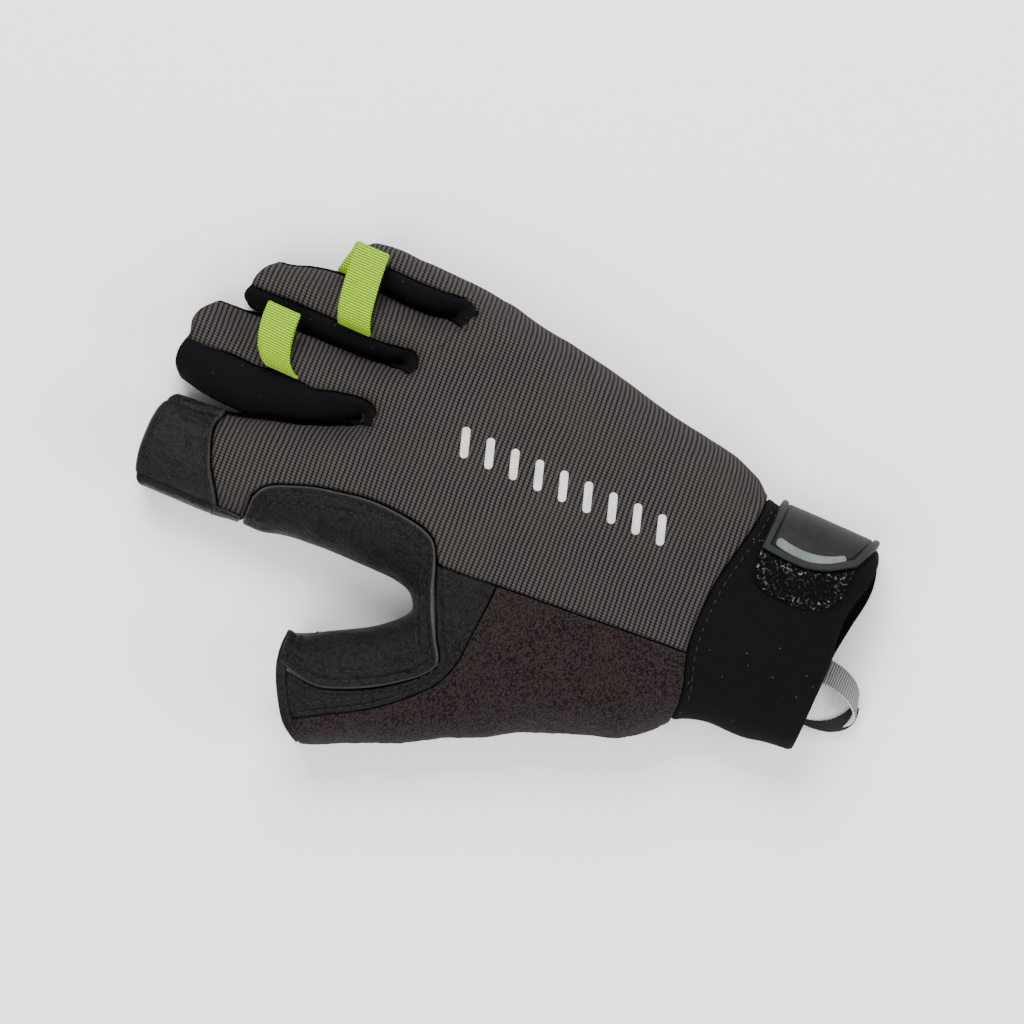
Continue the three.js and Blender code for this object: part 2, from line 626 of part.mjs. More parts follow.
// Height of the middle of the side edges, and the rise of the back and the drop of the palm from it.
function depths(x, y) {
  const across = x / PALM_BREADTH;
  const along = y / GLOVE_LENGTH;
  const slim = 1 - 0.14 * ease(span(across, 0.15, 0.52)) * ease(span(along, 0.02, 0.26));
  const hand = PALM_DEPTH * read(DEPTHS, 'along', 'depth', along) * slim;
  const thumb = ease(span(-across, 0.42, 0.72));
  const whole = hand + (THUMB_DEPTH - hand) * thumb;
  const crown = PALM_CROWN * Math.max(0, 1 - ((across - 0.08) / 0.5) ** 2) * ease(span(along, -0.33, -0.2))
    * ease(span(-along, -0.25, -0.1));
  let dent = 0;
  for (const fold of FOLDS) {
    const turn = (fold.heading * Math.PI) / 180;
    const px = x - fold.across * PALM_BREADTH;
    const py = y - fold.along * GLOVE_LENGTH;
    const u = (px * Math.cos(turn) + py * Math.sin(turn)) / (fold.length * PALM_BREADTH);
    const v = (py * Math.cos(turn) - px * Math.sin(turn)) / (fold.width * PALM_BREADTH);
    dent += fold.depth * PALM_DEPTH * Math.exp(-u * u - v * v);
  }
  const middle = 0.45 * whole;
  return { middle, back: whole - middle + crown - dent, palm: middle };
}

const SLOPE_STEP = 0.05;

// Slides the end of each finger along itself to the curve of its mouth.
function toMouth(at) {
  const finger = FINGERS.find((row) => at.x < row.until * PALM_BREADTH);
  const part = ease(span(at.y, finger.reach - MOUTH_RUN, finger.reach));
  if (part === 0) {
    return at;
  }
  const past = read(finger.mouth, 'across', 'past', at.x / PALM_BREADTH);
  return { x: at.x, y: at.y + part * MOUTH_BULGE * past };
}

// A point of the glove's outside above or below a place in plan, with its outward direction.
function cloth(place, side) {
  const at = toMouth(place);
  const near = nearest(at.x, at.y);
  const here = depths(at.x, at.y);
  const stepX = depths(at.x + SLOPE_STEP, at.y);
  const stepY = depths(at.x, at.y + SLOPE_STEP);
  const key = side > 0 ? 'back' : 'palm';
  const q = Math.min(near.q, 1);
  const rise = side * Math.sqrt(1 - (1 - q) ** 2);
  const h = here[key];
  const slope = (step) =>
    ((rise / h) * (step.middle - here.middle) + ((rise * rise) / h) * (step[key] - h)) / SLOPE_STEP;
  const n = new THREE.Vector3(
    (-(1 - q) * near.gx) / near.r - slope(stepX),
    (-(1 - q) * near.gy) / near.r - slope(stepY),
    rise / h,
  ).normalize();
  return { p: new THREE.Vector3(at.x, at.y, here.middle + rise * h), n };
}

// Walks a line of plan points, giving the point at each share of its length.
function course(points, shares) {
  const walked = [0];
  for (let i = 1; i < points.length; i += 1) {
    walked.push(walked[i - 1] + Math.hypot(points[i].x - points[i - 1].x, points[i].y - points[i - 1].y));
  }
  const total = walked[walked.length - 1];
  return shares.map((share) => {
    let i = 1;
    while (i < points.length - 1 && walked[i] < share * total) {
      i += 1;
    }
    const t = span(share * total, walked[i - 1], walked[i]);
    return {
      x: points[i - 1].x + (points[i].x - points[i - 1].x) * t,
      y: points[i - 1].y + (points[i].y - points[i - 1].y) * t,
    };
  });
}

function sharesOf(points) {
  const walked = [0];
  for (let i = 1; i < points.length; i += 1) {
    walked.push(walked[i - 1] + Math.hypot(points[i].x - points[i - 1].x, points[i].y - points[i - 1].y));
  }
  return walked.map((w) => w / walked[walked.length - 1]);
}

function smooth(points) {
  const knots = points.map((p) => new THREE.Vector3(p.x, p.y, 0));
  return new THREE.CatmullRomCurve3(knots, false, 'centripetal').getPoints((points.length - 1) * 8);
}

// Shares closer together towards an end that lies on a rounded side.
function steps(count, kind) {
  return Array.from({ length: count + 1 }, (_, i) => {
    const t = i / count;
    if (kind === 'end') {
      return Math.sin((t * Math.PI) / 2);
    }
    if (kind === 'start') {
      return 1 - Math.cos((t * Math.PI) / 2);
    }
    return kind === 'both' ? (1 - Math.cos(t * Math.PI)) / 2 : t;
  });
}

// Moves a line of plan points sideways, to the left of its direction when the distance is positive.
function shift(points, distance) {
  return points.map((p, i) => {
    const a = points[Math.max(i - 1, 0)];
    const b = points[Math.min(i + 1, points.length - 1)];
    const length = Math.hypot(b.x - a.x, b.y - a.y);
    return { x: p.x - (distance * (b.y - a.y)) / length, y: p.y + (distance * (b.x - a.x)) / length };
  });
}

// Fills four plan edges with a grid: bottom and top run the same way, left and right run from bottom to top.
function filled(bottom, top, left, right) {
  const sb = sharesOf(bottom);
  const st = sharesOf(top);
  const sl = sharesOf(left);
  const sr = sharesOf(right);
  const last = bottom.length - 1;
  return left.map((l, j) => {
    const v = (sl[j] + sr[j]) / 2;
    return bottom.map((b, i) => {
      const u = (sb[i] + st[i]) / 2;
      if (i === 0 || i === last) {
        return i ? right[j] : l;
      }
      if (j === 0 || j === left.length - 1) {
        return j ? top[i] : b;
      }
      const mix = (key) =>
        (1 - v) * b[key] + v * top[i][key] + (1 - u) * l[key] + u * right[j][key]
        - (1 - u) * (1 - v) * bottom[0][key] - u * (1 - v) * bottom[last][key]
        - (1 - u) * v * top[0][key] - u * v * top[last][key];
      return { x: mix('x'), y: mix('y') };
    });
  });
}

const onSide = (rows, side) => rows.map((row) => row.map((at) => cloth(at, side)));

// The part of a panel that turns round a side edge: one row a station, from the edge to a seam.
function turned(stations, arcs) {
  return stations.map((station) => arcs.map((arc) => cloth(onEdge(station, arc), arc >= 0 ? 1 : -1)));
}

// Builds a closed body from grids that share their border points: an outer skin, an inner skin, and a rim.
function body(name, colour, grids, wall, rise = 0) {
  const points = [];
  const seen = new Map();
  const triangles = [];
  const index = (vertex) => {
    const key = [vertex.p.x, vertex.p.y, vertex.p.z].map((c) => Math.round(c * 500)).join();
    if (!seen.has(key)) {
      seen.set(key, points.length);
      points.push(vertex);
    }
    return seen.get(key);
  };
  for (const rows of grids) {
    const ids = rows.map((row) => row.map(index));
    const found = [];
    for (let j = 0; j < rows.length - 1; j += 1) {
      for (let i = 0; i < rows[0].length - 1; i += 1) {
        const [a, b, c, d] = [ids[j][i], ids[j][i + 1], ids[j + 1][i + 1], ids[j + 1][i]];
        const short = points[a].p.distanceTo(points[c].p) < points[b].p.distanceTo(points[d].p);
        const pair = short ? [[a, b, c], [a, c, d]] : [[a, b, d], [b, c, d]];
        found.push(...pair.filter((t) => new Set(t).size === 3));
      }
    }
    let facing = 0;
    for (const [a, b, c] of found) {
      const normal = new THREE.Vector3().subVectors(points[b].p, points[a].p)
        .cross(new THREE.Vector3().subVectors(points[c].p, points[a].p));
      facing += normal.dot(points[a].n);
    }
    triangles.push(...found.map((t) => (facing > 0 ? t : [t[0], t[2], t[1]])));
  }
  const count = points.length;
  const position = [];
  const lift = (vertex) => (typeof rise === 'function' ? rise(vertex) : rise);
  for (const vertex of points) {
    position.push(...vertex.p.clone().addScaledVector(vertex.n, lift(vertex)).toArray());
  }
  for (const vertex of points) {
    position.push(...vertex.p.clone().addScaledVector(vertex.n, lift(vertex) - wall(vertex)).toArray());
  }
  const faces = [];
  const used = new Map();
  for (const [a, b, c] of triangles) {
    faces.push(a, b, c, a + count, c + count, b + count);
    for (const [m, k] of [[a, b], [b, c], [c, a]]) {
      used.set(`${m},${k}`, true);
    }
  }
  for (const edge of used.keys()) {
    const [m, k] = edge.split(',').map(Number);
    if (!used.has(`${k},${m}`)) {
      faces.push(m, m + count, k + count, m, k + count, k);
    }
  }
  const geometry = new THREE.BufferGeometry();
  geometry.setAttribute('position', new THREE.Float32BufferAttribute(position, 3));
  geometry.setIndex(faces);
  geometry.computeVertexNormals();
  const [tint, roughness] = COLOURS[colour];
  const finish = new THREE.MeshStandardMaterial({ color: tint, roughness, metalness: 0 });
  const mesh = new THREE.Mesh(geometry, finish);
  mesh.name = name;
  return mesh;
}

const glove = new THREE.Group();
glove.name = 'climbing_glove';
const half = SEAM_GAP / 2;

const LEG_CELLS = 10;
// One gap between two fingers: its outline, its fork and its two sewn edges.
function opening(line, seams, firstReach, secondReach) {
  const fork = forkOf(line).s;
  const from = crossing(line, firstReach, false);
  const to = crossing(line, secondReach, true);
  const leg = (s) => (s < fork ? (s - from) / (fork - from) : 1 + (s - fork) / (to - fork));
  const arc = (station, key) => EDGE_ROUND * read(seams, 'leg', key, leg(station.s));
  const first = spread(line, fork, from, LEG_CELLS);
  const second = spread(line, fork, to, LEG_CELLS);
  const seam = (stations, key, gap) => stations.map((station) => onEdge(station, arc(station, key) + gap));
  const end = (key, gap) => seam([pointAt(line, fork)], key, gap)[0];
  return { line, first, second, arc, seam, end };
}

const gapIM = opening(slitIM, SEAMS_INDEX_MIDDLE, indexReach, middleReach);
const gapMR = opening(slitMR, SEAMS_MIDDLE_RING, middleReach, ringReach);
const gapRL = opening(slitRL, SEAMS_RING_LITTLE, ringReach, littleReach);

// The three strips between the fingers run down one finger, round the fork and up the next.
function gusset(name, gap) {
  const stations = [...gap.first.slice(1).reverse(), ...gap.second];
  const rows = stations.map((station) => {
    const back = gap.arc(station, 'back') - half;
    const palm = gap.arc(station, 'palm') - half;
    const down = steps(3, 'even');
    const arcs = [...down.map((t) => back * (1 - t)), ...down.slice(1).map((t) => -palm * t)];
    return arcs.map((arc) => cloth(onEdge(station, arc), arc >= 0 ? 1 : -1));
  });
  glove.add(body(name, 'gusset', [rows], () => GUSSET_WALL));
}
gusset('gusset_index_middle', gapIM);
gusset('gusset_middle_ring', gapMR);
gusset('gusset_ring_little', gapRL);

// Places along the crotch outline for the sections of the patch.
const notch = crossing(radial, NOTCH_ALONG * GLOVE_LENGTH, false);
const mouth = crossing(radial, THUMB_MOUTH_ALONG * GLOVE_LENGTH, true);
const crotch = PATCH.map((row) => pointAt(radial, notch + (mouth - notch) * row.at));
const patchEdge = PATCH.map(plan);
const rowAt = (along) => PATCH.findIndex((row) => row.along === along);
const cornerRow = rowAt(KNIT_EDGE[KNIT_EDGE.length - 1].along);
const forkRow = rowAt(PATCH_FORK_ALONG);
const patchUnder = (gap) => PATCH.map((row, i) => onEdge(crotch[i], row.under * EDGE_ROUND + gap));

const patchRows = crotch.map((station, i) => {
  const edge = shift(patchEdge, -half)[i];
  const dx = edge.x - station.x;
  const dy = edge.y - station.y;
  const far = Math.hypot(dx, dy);
  const top = steps(5, 'even').slice(0, -1).map((t) => {
    const part = inset(around(far, station.r) * (1 - t), station.r) / far;
    return cloth({ x: station.x + dx * part, y: station.y + dy * part }, 1);
  });
  const under = PATCH[i].under * EDGE_ROUND - half;
  return [...top, ...steps(3, 'even').map((t) => cloth(onEdge(station, under * t), -1))];
});
const patchRise = (vertex) => PATCH_RISE * ease(span(vertex.n.z, -0.2, 0.5));
glove.add(body('crotch_patch', 'leather', [patchRows], (v) => LEATHER_WALL + patchRise(v), patchRise));

// The layer below the patch, a curved band from the knit to the thumb opening.
const baseLow = BASE_EDGE.map(plan);
const baseHigh = patchEdge.slice(cornerRow);
const low = shift(baseLow, -half);
const high = shift(baseHigh, half);
low[0].x -= half;
high[0].x -= half;
const line = (a, b, count, kind) =>
  steps(count, kind).map((t) => ({ x: a.x + (b.x - a.x) * t, y: a.y + (b.y - a.y) * t }));
const baseRows = low.map((p, i) => line(p, high[i], 3, 'even'));
glove.add(body('crotch_base', 'leather', [onSide(baseRows, 1)], () => LEATHER_WALL));

// Back of the thumb and its mound.
const knitEdge = KNIT_EDGE.map(plan);
const thumbFoot = crossing(thumbOuter, CUFF_SEAM_RADIAL * GLOVE_LENGTH, false);
const thumbMouth = crossing(thumbOuter, THUMB_OUTER_ALONG * GLOVE_LENGTH, false);
const seamBack = smooth([
  pointAt(thumbOuter, thumbFoot),
  ...CUFF_SEAM_BACK.map(plan),
  pointAt(ulnar, crossing(ulnar, CUFF_SEAM_ULNAR * GLOVE_LENGTH, false)),
]);
const splitShare = sharesOf(seamBack)[seamBack.findIndex((p) => p.x >= knitEdge[0].x)];
const thumbSide = knitEdge.slice(0, 6);
const thumbStations = spread(thumbOuter, thumbFoot - half, thumbMouth, 11);
const sweep = steps(11, 'even');
const thumbRight = course(shift(thumbSide, half), sweep);
const thumbLip = [...shift(baseLow, half), thumbStations[11]];
const lipEnd = course(thumbLip.slice(-2), [0.72])[0];
const thumbTop = [thumbRight[11], ...thumbLip.slice(1, -1), lipEnd, thumbStations[11]];
const thumbShares = sharesOf(thumbTop).map((t) => splitShare * (1 - Math.min(t * 1.02, 1)));
const thumbBottom = course(shift(seamBack, half), thumbShares);
glove.add(body('thumb_back', 'terry', [
  onSide(filled(
    [thumbRight[0], ...thumbBottom.slice(1, -1), thumbStations[0]],
    thumbTop,
    thumbRight,
    thumbStations,
  ), 1),
  turned(thumbStations, [0, -SIDE_SEAM * EDGE_ROUND * 0.5, -SIDE_SEAM * EDGE_ROUND + half]),
], () => TERRY_WALL));

// Grey knit back, from the cuff seam to the forks, then one strip for each finger.
const CELLS = [6, 5, 5, 3];
const forkY = GLOVE_LENGTH * 0.115;
const ulnarFoot = crossing(ulnar, CUFF_SEAM_ULNAR * GLOVE_LENGTH, false) + half;
const ulnarFork = crossing(ulnar, forkY, false);
const ulnarTip = crossing(ulnar, littleReach, false);
const join = (...parts) => parts.flatMap((part, i) => (i ? part.slice(1) : part));
const patchSide = shift(patchEdge, half);
const forks = [gapIM, gapMR, gapRL].map((gap) => gap.end('back', half));
const knuckles = [
  line(patchSide[forkRow], forks[0], CELLS[0], 'even'),
  line(forks[0], forks[1], CELLS[1], 'even'),
  line(forks[1], forks[2], CELLS[2], 'even'),
  line(forks[2], pointAt(ulnar, ulnarFork), CELLS[3], 'end'),
];
const knuckleRow = join(...knuckles);
const corner = patchEdge[cornerRow];
const knitLeft = [
  ...shift([...knitEdge, patchEdge[cornerRow - 1]], -half).slice(0, -2),
  { x: corner.x + half, y: corner.y - half },
  ...patchSide.slice(forkRow, cornerRow).reverse(),
];
const knitRows = knitLeft.length - 1;
const ulnarSide = spread(ulnar, ulnarFoot, ulnarFork, knitRows);
const wristShares = sharesOf(knuckleRow).map((t) => splitShare + (1 - splitShare) * t);
const wristRow = course(shift(seamBack, half), wristShares);
wristRow[0] = { x: knitLeft[0].x, y: knitLeft[0].y + half };
knitLeft[0] = wristRow[0];
wristRow[wristRow.length - 1] = ulnarSide[0];
const sideArcs = [0, -SIDE_SEAM * EDGE_ROUND * 0.5, -SIDE_SEAM * EDGE_ROUND + half];

const capRow = (row) => ({ x: row.across * PALM_BREADTH, y: indexReach - row.drop * CAP_LENGTH });
const capLine = smooth(CAP_EDGE.map(capRow));
const capEnd = capLine[capLine.length - 1];
const capSplit = sharesOf(capLine)[capLine.findIndex((p) => p.x >= CAP_EDGE[3].across * PALM_BREADTH)];
const belowCap = shift(capLine, -half);
const aboveCap = shift(capLine, half);
const ends = (points, first, last) => [first, ...points.slice(1, -1), last];
const tip = (left, right, cells, kind) => line(left[left.length - 1], right[right.length - 1], cells, kind);

const patchTop = { x: patchEdge[0].x, y: patchEdge[0].y + SEAM_GAP };
const capFoot = crossing(slitIM, capEnd.y - half, false);
const capHead = crossing(slitIM, capEnd.y + half, false);
const belowStations = [...gapIM.first.filter((p) => p.s > capFoot + 2), pointAt(slitIM, capFoot)];
const strand = line(patchTop, course(belowCap, [capSplit])[0], belowStations.length - 1 - forkRow, 'even');
const strandEnd = strand[strand.length - 1];
const indexLeft = [...patchSide.slice(1, forkRow + 1).reverse(), ...strand];
const indexRight = gapIM.seam(belowStations, 'back', half);
const indexTop = course(belowCap, steps(CELLS[0], 'end').map((t) => capSplit + (1 - capSplit) * t));
const capSide = crossing(radial, belowCap[0].y, false);
const edgeSide = spread(radial, notch - SEAM_GAP, capSide, strand.length - 1);
const edgeBottom = line(edgeSide[0], patchTop, 3, 'start');
const edgeTop = course(belowCap, steps(3, 'start').map((t) => capSplit * t));
const middleLeft = gapIM.seam(gapIM.second, 'back', half);
const middleRight = gapMR.seam(gapMR.first, 'back', half);
const ringLeft = gapMR.seam(gapMR.second, 'back', half);
const ringRight = gapRL.seam(gapRL.first, 'back', half);
const littleLeft = gapRL.seam(gapRL.second, 'back', half);
const littleSide = spread(ulnar, ulnarFork, ulnarTip, LEG_CELLS);
glove.add(body('back_panel', 'knit', [
  onSide(filled(wristRow, knuckleRow, knitLeft, ulnarSide), 1),
  turned(ulnarSide, sideArcs),
  onSide(filled(
    knuckles[0],
    ends(indexTop, strandEnd, indexRight[indexRight.length - 1]),
    indexLeft,
    indexRight,
  ), 1),
  onSide(filled(edgeBottom, ends(edgeTop, edgeSide[edgeSide.length - 1], strandEnd), edgeSide, strand), 1),
  turned(edgeSide, sideArcs),
  onSide(filled(knuckles[1], tip(middleLeft, middleRight, CELLS[1], 'even'), middleLeft, middleRight), 1),
  onSide(filled(knuckles[2], tip(ringLeft, ringRight, CELLS[2], 'even'), ringLeft, ringRight), 1),
  onSide(filled(knuckles[3], tip(littleLeft, littleSide, CELLS[3], 'end'), littleLeft, littleSide), 1),
  turned(littleSide, sideArcs),
], () => KNIT_WALL));

// Leather cap over the end of the index finger.
const indexMouth = crossing(radial, indexReach, false);
const aboveStations = [pointAt(slitIM, capHead), ...gapIM.first.filter((p) => p.s < capHead - 2)];
const capRight = gapIM.seam(aboveStations, 'back', half);
const capLeft = spread(radial, crossing(radial, aboveCap[0].y, false), indexMouth, capRight.length - 1);
glove.add(body('index_cap', 'leather', [
  onSide(filled(
    ends(course(aboveCap, steps(8, 'both')), capLeft[0], capRight[0]),
    tip(capLeft, capRight, 8, 'both'),
    capLeft,
    capRight,
  ), 1),
  turned(capLeft, sideArcs),
], () => LEATHER_WALL));

// Palm side: the same layout seen from below.
const seamPalm = smooth([
  pointAt(thumbOuter, thumbFoot),
  ...CUFF_SEAM_PALM.map(plan),
  pointAt(ulnar, crossing(ulnar, CUFF_SEAM_ULNAR * GLOVE_LENGTH, false)),
]);
const thenar = THENAR_SEAM.map(plan);
const thenarShare = sharesOf(seamPalm)[seamPalm.findIndex((p) => p.x >= thenar[0].x)];
const under = patchUnder(half);
const meetingRow = cornerRow + 1;
const sideArc = SIDE_SEAM * EDGE_ROUND + half;
const sewn = (stations) => stations.map((station) => onEdge(station, sideArc));
const palmLeft = [...shift(thenar, -half), ...under.slice(forkRow, meetingRow + 1).reverse()];
palmLeft[0].y += half;
const palmRight = sewn(spread(ulnar, ulnarFoot, ulnarFork, palmLeft.length - 1));
const palmForks = [gapIM, gapMR, gapRL].map((gap) => gap.end('palm', half));
const fingers = [
  line(under[forkRow], palmForks[0], 4, 'even'),
  line(palmForks[0], palmForks[1], 4, 'even'),
  line(palmForks[1], palmForks[2], 4, 'even'),
  line(palmForks[2], palmRight[palmRight.length - 1], 3, 'even'),
];
const fingerRow = join(...fingers);
const heelRow = ends(
  course(shift(seamPalm, half), sharesOf(fingerRow).map((t) => thenarShare + (1 - thenarShare) * t)),
  palmLeft[0],
  palmRight[0],
);
const indexPalmLeft = [
  ...under.slice(0, forkRow + 1).reverse(),
  ...sewn(spread(radial, notch, indexMouth, LEG_CELLS - forkRow)).slice(1),
];
const strips = [
  [indexPalmLeft, gapIM.seam(gapIM.first, 'palm', half)],
  [gapIM.seam(gapIM.second, 'palm', half), gapMR.seam(gapMR.first, 'palm', half)],
  [gapMR.seam(gapMR.second, 'palm', half), gapRL.seam(gapRL.first, 'palm', half)],
  [gapRL.seam(gapRL.second, 'palm', half), sewn(littleSide)],
];
glove.add(body('palm_panel', 'leather', [
  onSide(filled(heelRow, fingerRow, palmLeft, palmRight), -1),
  ...strips.map(([left, right], i) =>
    onSide(filled(fingers[i], tip(left, right, fingers[i].length - 1, 'even'), left, right), -1)),
], () => LEATHER_WALL));

// Palm side of the thumb.
const thumbIn = [...shift(thenar, half), ...under.slice(meetingRow)];
thumbIn[0].y += half;
const thumbOut = sewn(spread(thumbOuter, thumbFoot - half, thumbMouth, thumbIn.length - 1));
const thumbHeel = course(shift(seamPalm, half), steps(7, 'even').map((t) => thenarShare * (1 - t)));
glove.add(body('thumb_palm', 'leather', [
  onSide(filled(
    ends(thumbHeel, thumbIn[0], thumbOut[0]),
    line(thumbIn[thumbIn.length - 1], thumbOut[thumbOut.length - 1], 7, 'even'),
    thumbIn,
    thumbOut,
  ), -1),
], () => LEATHER_WALL));

// Cuff: a soft tube with a rolled side on either hand.
const cuffY = CUFF_END_ALONG * GLOVE_LENGTH;
const cuffLeft = spread(thumbOuter, thumbFoot + half, crossing(thumbOuter, cuffY, true), 5);
const ulnarHem = crossing(ulnar, CUFF_SEAM_ULNAR * GLOVE_LENGTH, false) - half;
const cuffRight = spread(ulnar, ulnarHem, crossing(ulnar, cuffY, false), 5);
const cuffHalf = (seam, end, side) => {
  const mouthLine = smooth([cuffLeft[5], ...end.map(plan), cuffRight[5]]);
  return onSide(filled(
    ends(course(shift(seam, -half), steps(14, 'both')), cuffLeft[0], cuffRight[0]),
    ends(course(mouthLine, steps(14, 'both')), cuffLeft[5], cuffRight[5]),
    cuffLeft,
    cuffRight,
  ), side);
};
glove.add(body('cuff', 'neoprene', [
  cuffHalf(seamBack, CUFF_END_BACK, 1),
  cuffHalf(seamPalm, CUFF_END_PALM, -1),
], () => CUFF_WALL));

// Closure: a landing pad on the cuff and a rubber tab wrapped round its little finger side.
const padRows = CLOSURE.map((row) => line(
  { x: row.pad * PALM_BREADTH, y: row.along * GLOVE_LENGTH },
  { x: row.tab * PALM_BREADTH - SEAM_GAP, y: row.tabAlong * GLOVE_LENGTH },
  4,
  'even',
));
glove.add(body('loop_pad', 'fuzz', [onSide(padRows, 1)], () => PAD_WALL, LAYER_GAP + PAD_WALL));

const tabTop = crossing(ulnar, CLOSURE[0].tabAlong * GLOVE_LENGTH - 0.3, false);
const tabEnd = crossing(ulnar, TAB_END_ALONG * GLOVE_LENGTH, false);
const tabStep = (tabEnd - tabTop) / (CLOSURE.length - 1);
const tabStations = CLOSURE.map((_, i) => pointAt(ulnar, tabTop + tabStep * i));
const tabEdge = CLOSURE.map((row) => ({ x: row.tab * PALM_BREADTH, y: row.tabAlong * GLOVE_LENGTH }));
const tabRows = CLOSURE.map((row, i) => [
  ...onSide([line(tabEdge[i], tabStations[i], 5, 'end')], 1)[0],
  ...steps(3, 'even').slice(1).map((t) => cloth(onEdge(tabStations[i], TAB_UNDER * EDGE_ROUND * t), -1)),
]);
glove.add(body('strap_tab', 'rubber', [tabRows], () => TAB_WALL, LAYER_GAP + TAB_WALL));

const stripeRows = CLOSURE.slice(1, -1).map((row) => line(
  { x: (row.tab + 0.03) * PALM_BREADTH, y: row.tabAlong * GLOVE_LENGTH },
  { x: (row.tab + 0.054) * PALM_BREADTH, y: row.tabAlong * GLOVE_LENGTH },
  1,
  'even',
));
glove.add(body('tab_stripe', 'stripe', [onSide(stripeRows, 1)], () => STRIPE_WALL,
  LAYER_GAP + TAB_WALL + LAYER_GAP + STRIPE_WALL));

// Tape sewn down at both ends: a strip between two lines of edge points.
function tape(name, colour, rows) {
  const at = (row, k) => new THREE.Vector3(
    (row.xa + (row.xb - row.xa) * k) * PALM_BREADTH,
    (row.ya + (row.yb - row.ya) * k) * GLOVE_LENGTH,
    (row.za + (row.zb - row.za) * k) * PALM_DEPTH,
  );
  const grid = rows.map((row, i) => {
    const before = rows[Math.max(i - 1, 0)];
    const after = rows[Math.min(i + 1, rows.length - 1)];
    return [0, 0.5, 1].map((k) => {
      const along = at(after, k).sub(at(before, k));
      const n = along.cross(at(row, 1).sub(at(row, 0))).normalize();
      return { p: at(row, k), n };
    });
  });
  glove.add(body(name, colour, [grid], () => TAPE_WALL, TAPE_WALL / 2));
}
tape('pull_loop_middle', 'green', PULL_MIDDLE);
tape('pull_loop_ring', 'green', PULL_RING);
tape('hang_loop', 'tape', HANG_LOOP);

export default glove;
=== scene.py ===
# %% [markdown]
# # A half finger climbing glove
# The glove is a soft tube of cloth and leather for the right hand. It lies palm down and a little
# filled out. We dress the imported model, piece by piece, in knit, terry, leather, rubber and tape.
# Every length below is in millimetres, and becomes metres only where a mesh is made.

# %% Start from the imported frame
import math

import bpy
import numpy as np
from mathutils import Matrix, Vector


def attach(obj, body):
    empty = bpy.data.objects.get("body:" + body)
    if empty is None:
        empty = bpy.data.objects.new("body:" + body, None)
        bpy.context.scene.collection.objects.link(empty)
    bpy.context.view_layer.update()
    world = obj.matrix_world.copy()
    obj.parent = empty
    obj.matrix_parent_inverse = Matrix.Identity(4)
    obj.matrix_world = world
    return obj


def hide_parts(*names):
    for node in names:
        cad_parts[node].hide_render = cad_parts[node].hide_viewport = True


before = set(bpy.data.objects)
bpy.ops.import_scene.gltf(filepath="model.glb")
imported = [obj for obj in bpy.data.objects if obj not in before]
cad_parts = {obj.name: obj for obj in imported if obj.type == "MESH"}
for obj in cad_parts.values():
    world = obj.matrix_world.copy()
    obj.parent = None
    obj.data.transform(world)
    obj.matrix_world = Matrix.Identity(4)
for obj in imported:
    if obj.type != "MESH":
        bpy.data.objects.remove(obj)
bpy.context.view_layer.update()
MM = 0.001
print("nodes to dress:", len(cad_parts))

# %% [markdown]
# ## Sizes and tables
# The same named sizes as the part's source. The side outlines are what the glove's edge is from
# above: across the hand, along the fingers, and how round the edge is there. A smooth line is
# drawn through them, so a few rows are enough.

# %% Driving sizes
PALM_BREADTH, GLOVE_LENGTH = 90.0, 208.0
EDGE_ROUND, PALM_DEPTH, THUMB_DEPTH, PALM_CROWN = 14.0, 31.0, 25.0, 1.6
SIDE_SEAM = 0.42 * EDGE_ROUND
HALF_GAP = 0.2
FORK_Y = 0.115 * GLOVE_LENGTH

ULNAR = [
    (28.5, -112, 12), (28.5, -99, 12), (28.5, -80, 12), (28.6, -68, 12), (29.6, -64.6, 12),
    (33, -60, 12.5), (36, -52, 13), (38, -42, 13.5), (40, -30, 14), (42, -20, 14), (45, -5, 14),
    (47.5, 10, 13), (50, 25, 10), (51, 38, 7), (51.2, 50, 5.9), (51.2, 60, 5.9), (50.6, 66, 5.9),
    (50, 71, 5.9), (49, 80, 5.9), (48, 118, 5.9),
]
SLIT_INDEX_MIDDLE = [
    (-13.5, 118, 12.5), (-12.5, 101.5, 12.5), (-11.3, 92, 12.5), (-10.2, 84, 12.5),
    (-7.4, 75, 12.5), (-4.4, 64, 12), (-1.4, 57, 11), (1.2, 52.8, 10), (3, 51.6, 9.6),
    (3.2, 53.4, 10), (1.2, 57.8, 11), (-3.1, 64.6, 12.5), (-6.4, 75.3, 13), (-8.9, 82.5, 13),
    (-9.4, 87, 13), (-9, 95, 13), (-7.3, 104, 13), (-6, 118, 13),
]
SLIT_MIDDLE_RING = [
    (17, 118, 12), (17.5, 102, 12), (18, 92, 12), (18.5, 80, 12), (19, 70, 12), (19.5, 60, 12),
    (20.1, 52, 11), (21.2, 47.7, 9.6), (22.2, 46.7, 9.2), (22.4, 48.4, 9), (21.5, 53, 9.2),
    (20.5, 61, 9.4), (20, 70, 9.4), (19.5, 80, 9.3), (19, 92, 9), (18.7, 100, 9), (18.5, 118, 9),
]
SLIT_RING_LITTLE = [
    (34, 118, 9), (34.3, 100, 9), (34.8, 90.5, 9), (37, 82, 9.2), (38.3, 75, 9.4),
    (38.5, 68, 9.4), (38.4, 60, 9.4), (38.1, 50, 9.4), (38.4, 44, 9), (39.4, 39.6, 8),
    (40.5, 38.4, 7.6), (41.1, 39.8, 7), (40.1, 44, 6.3), (39.3, 50, 5.9), (39.3, 60, 5.9),
    (39.4, 68, 5.9), (39.3, 75, 5.9), (39.1, 90, 5.9), (39, 118, 5.9),
]
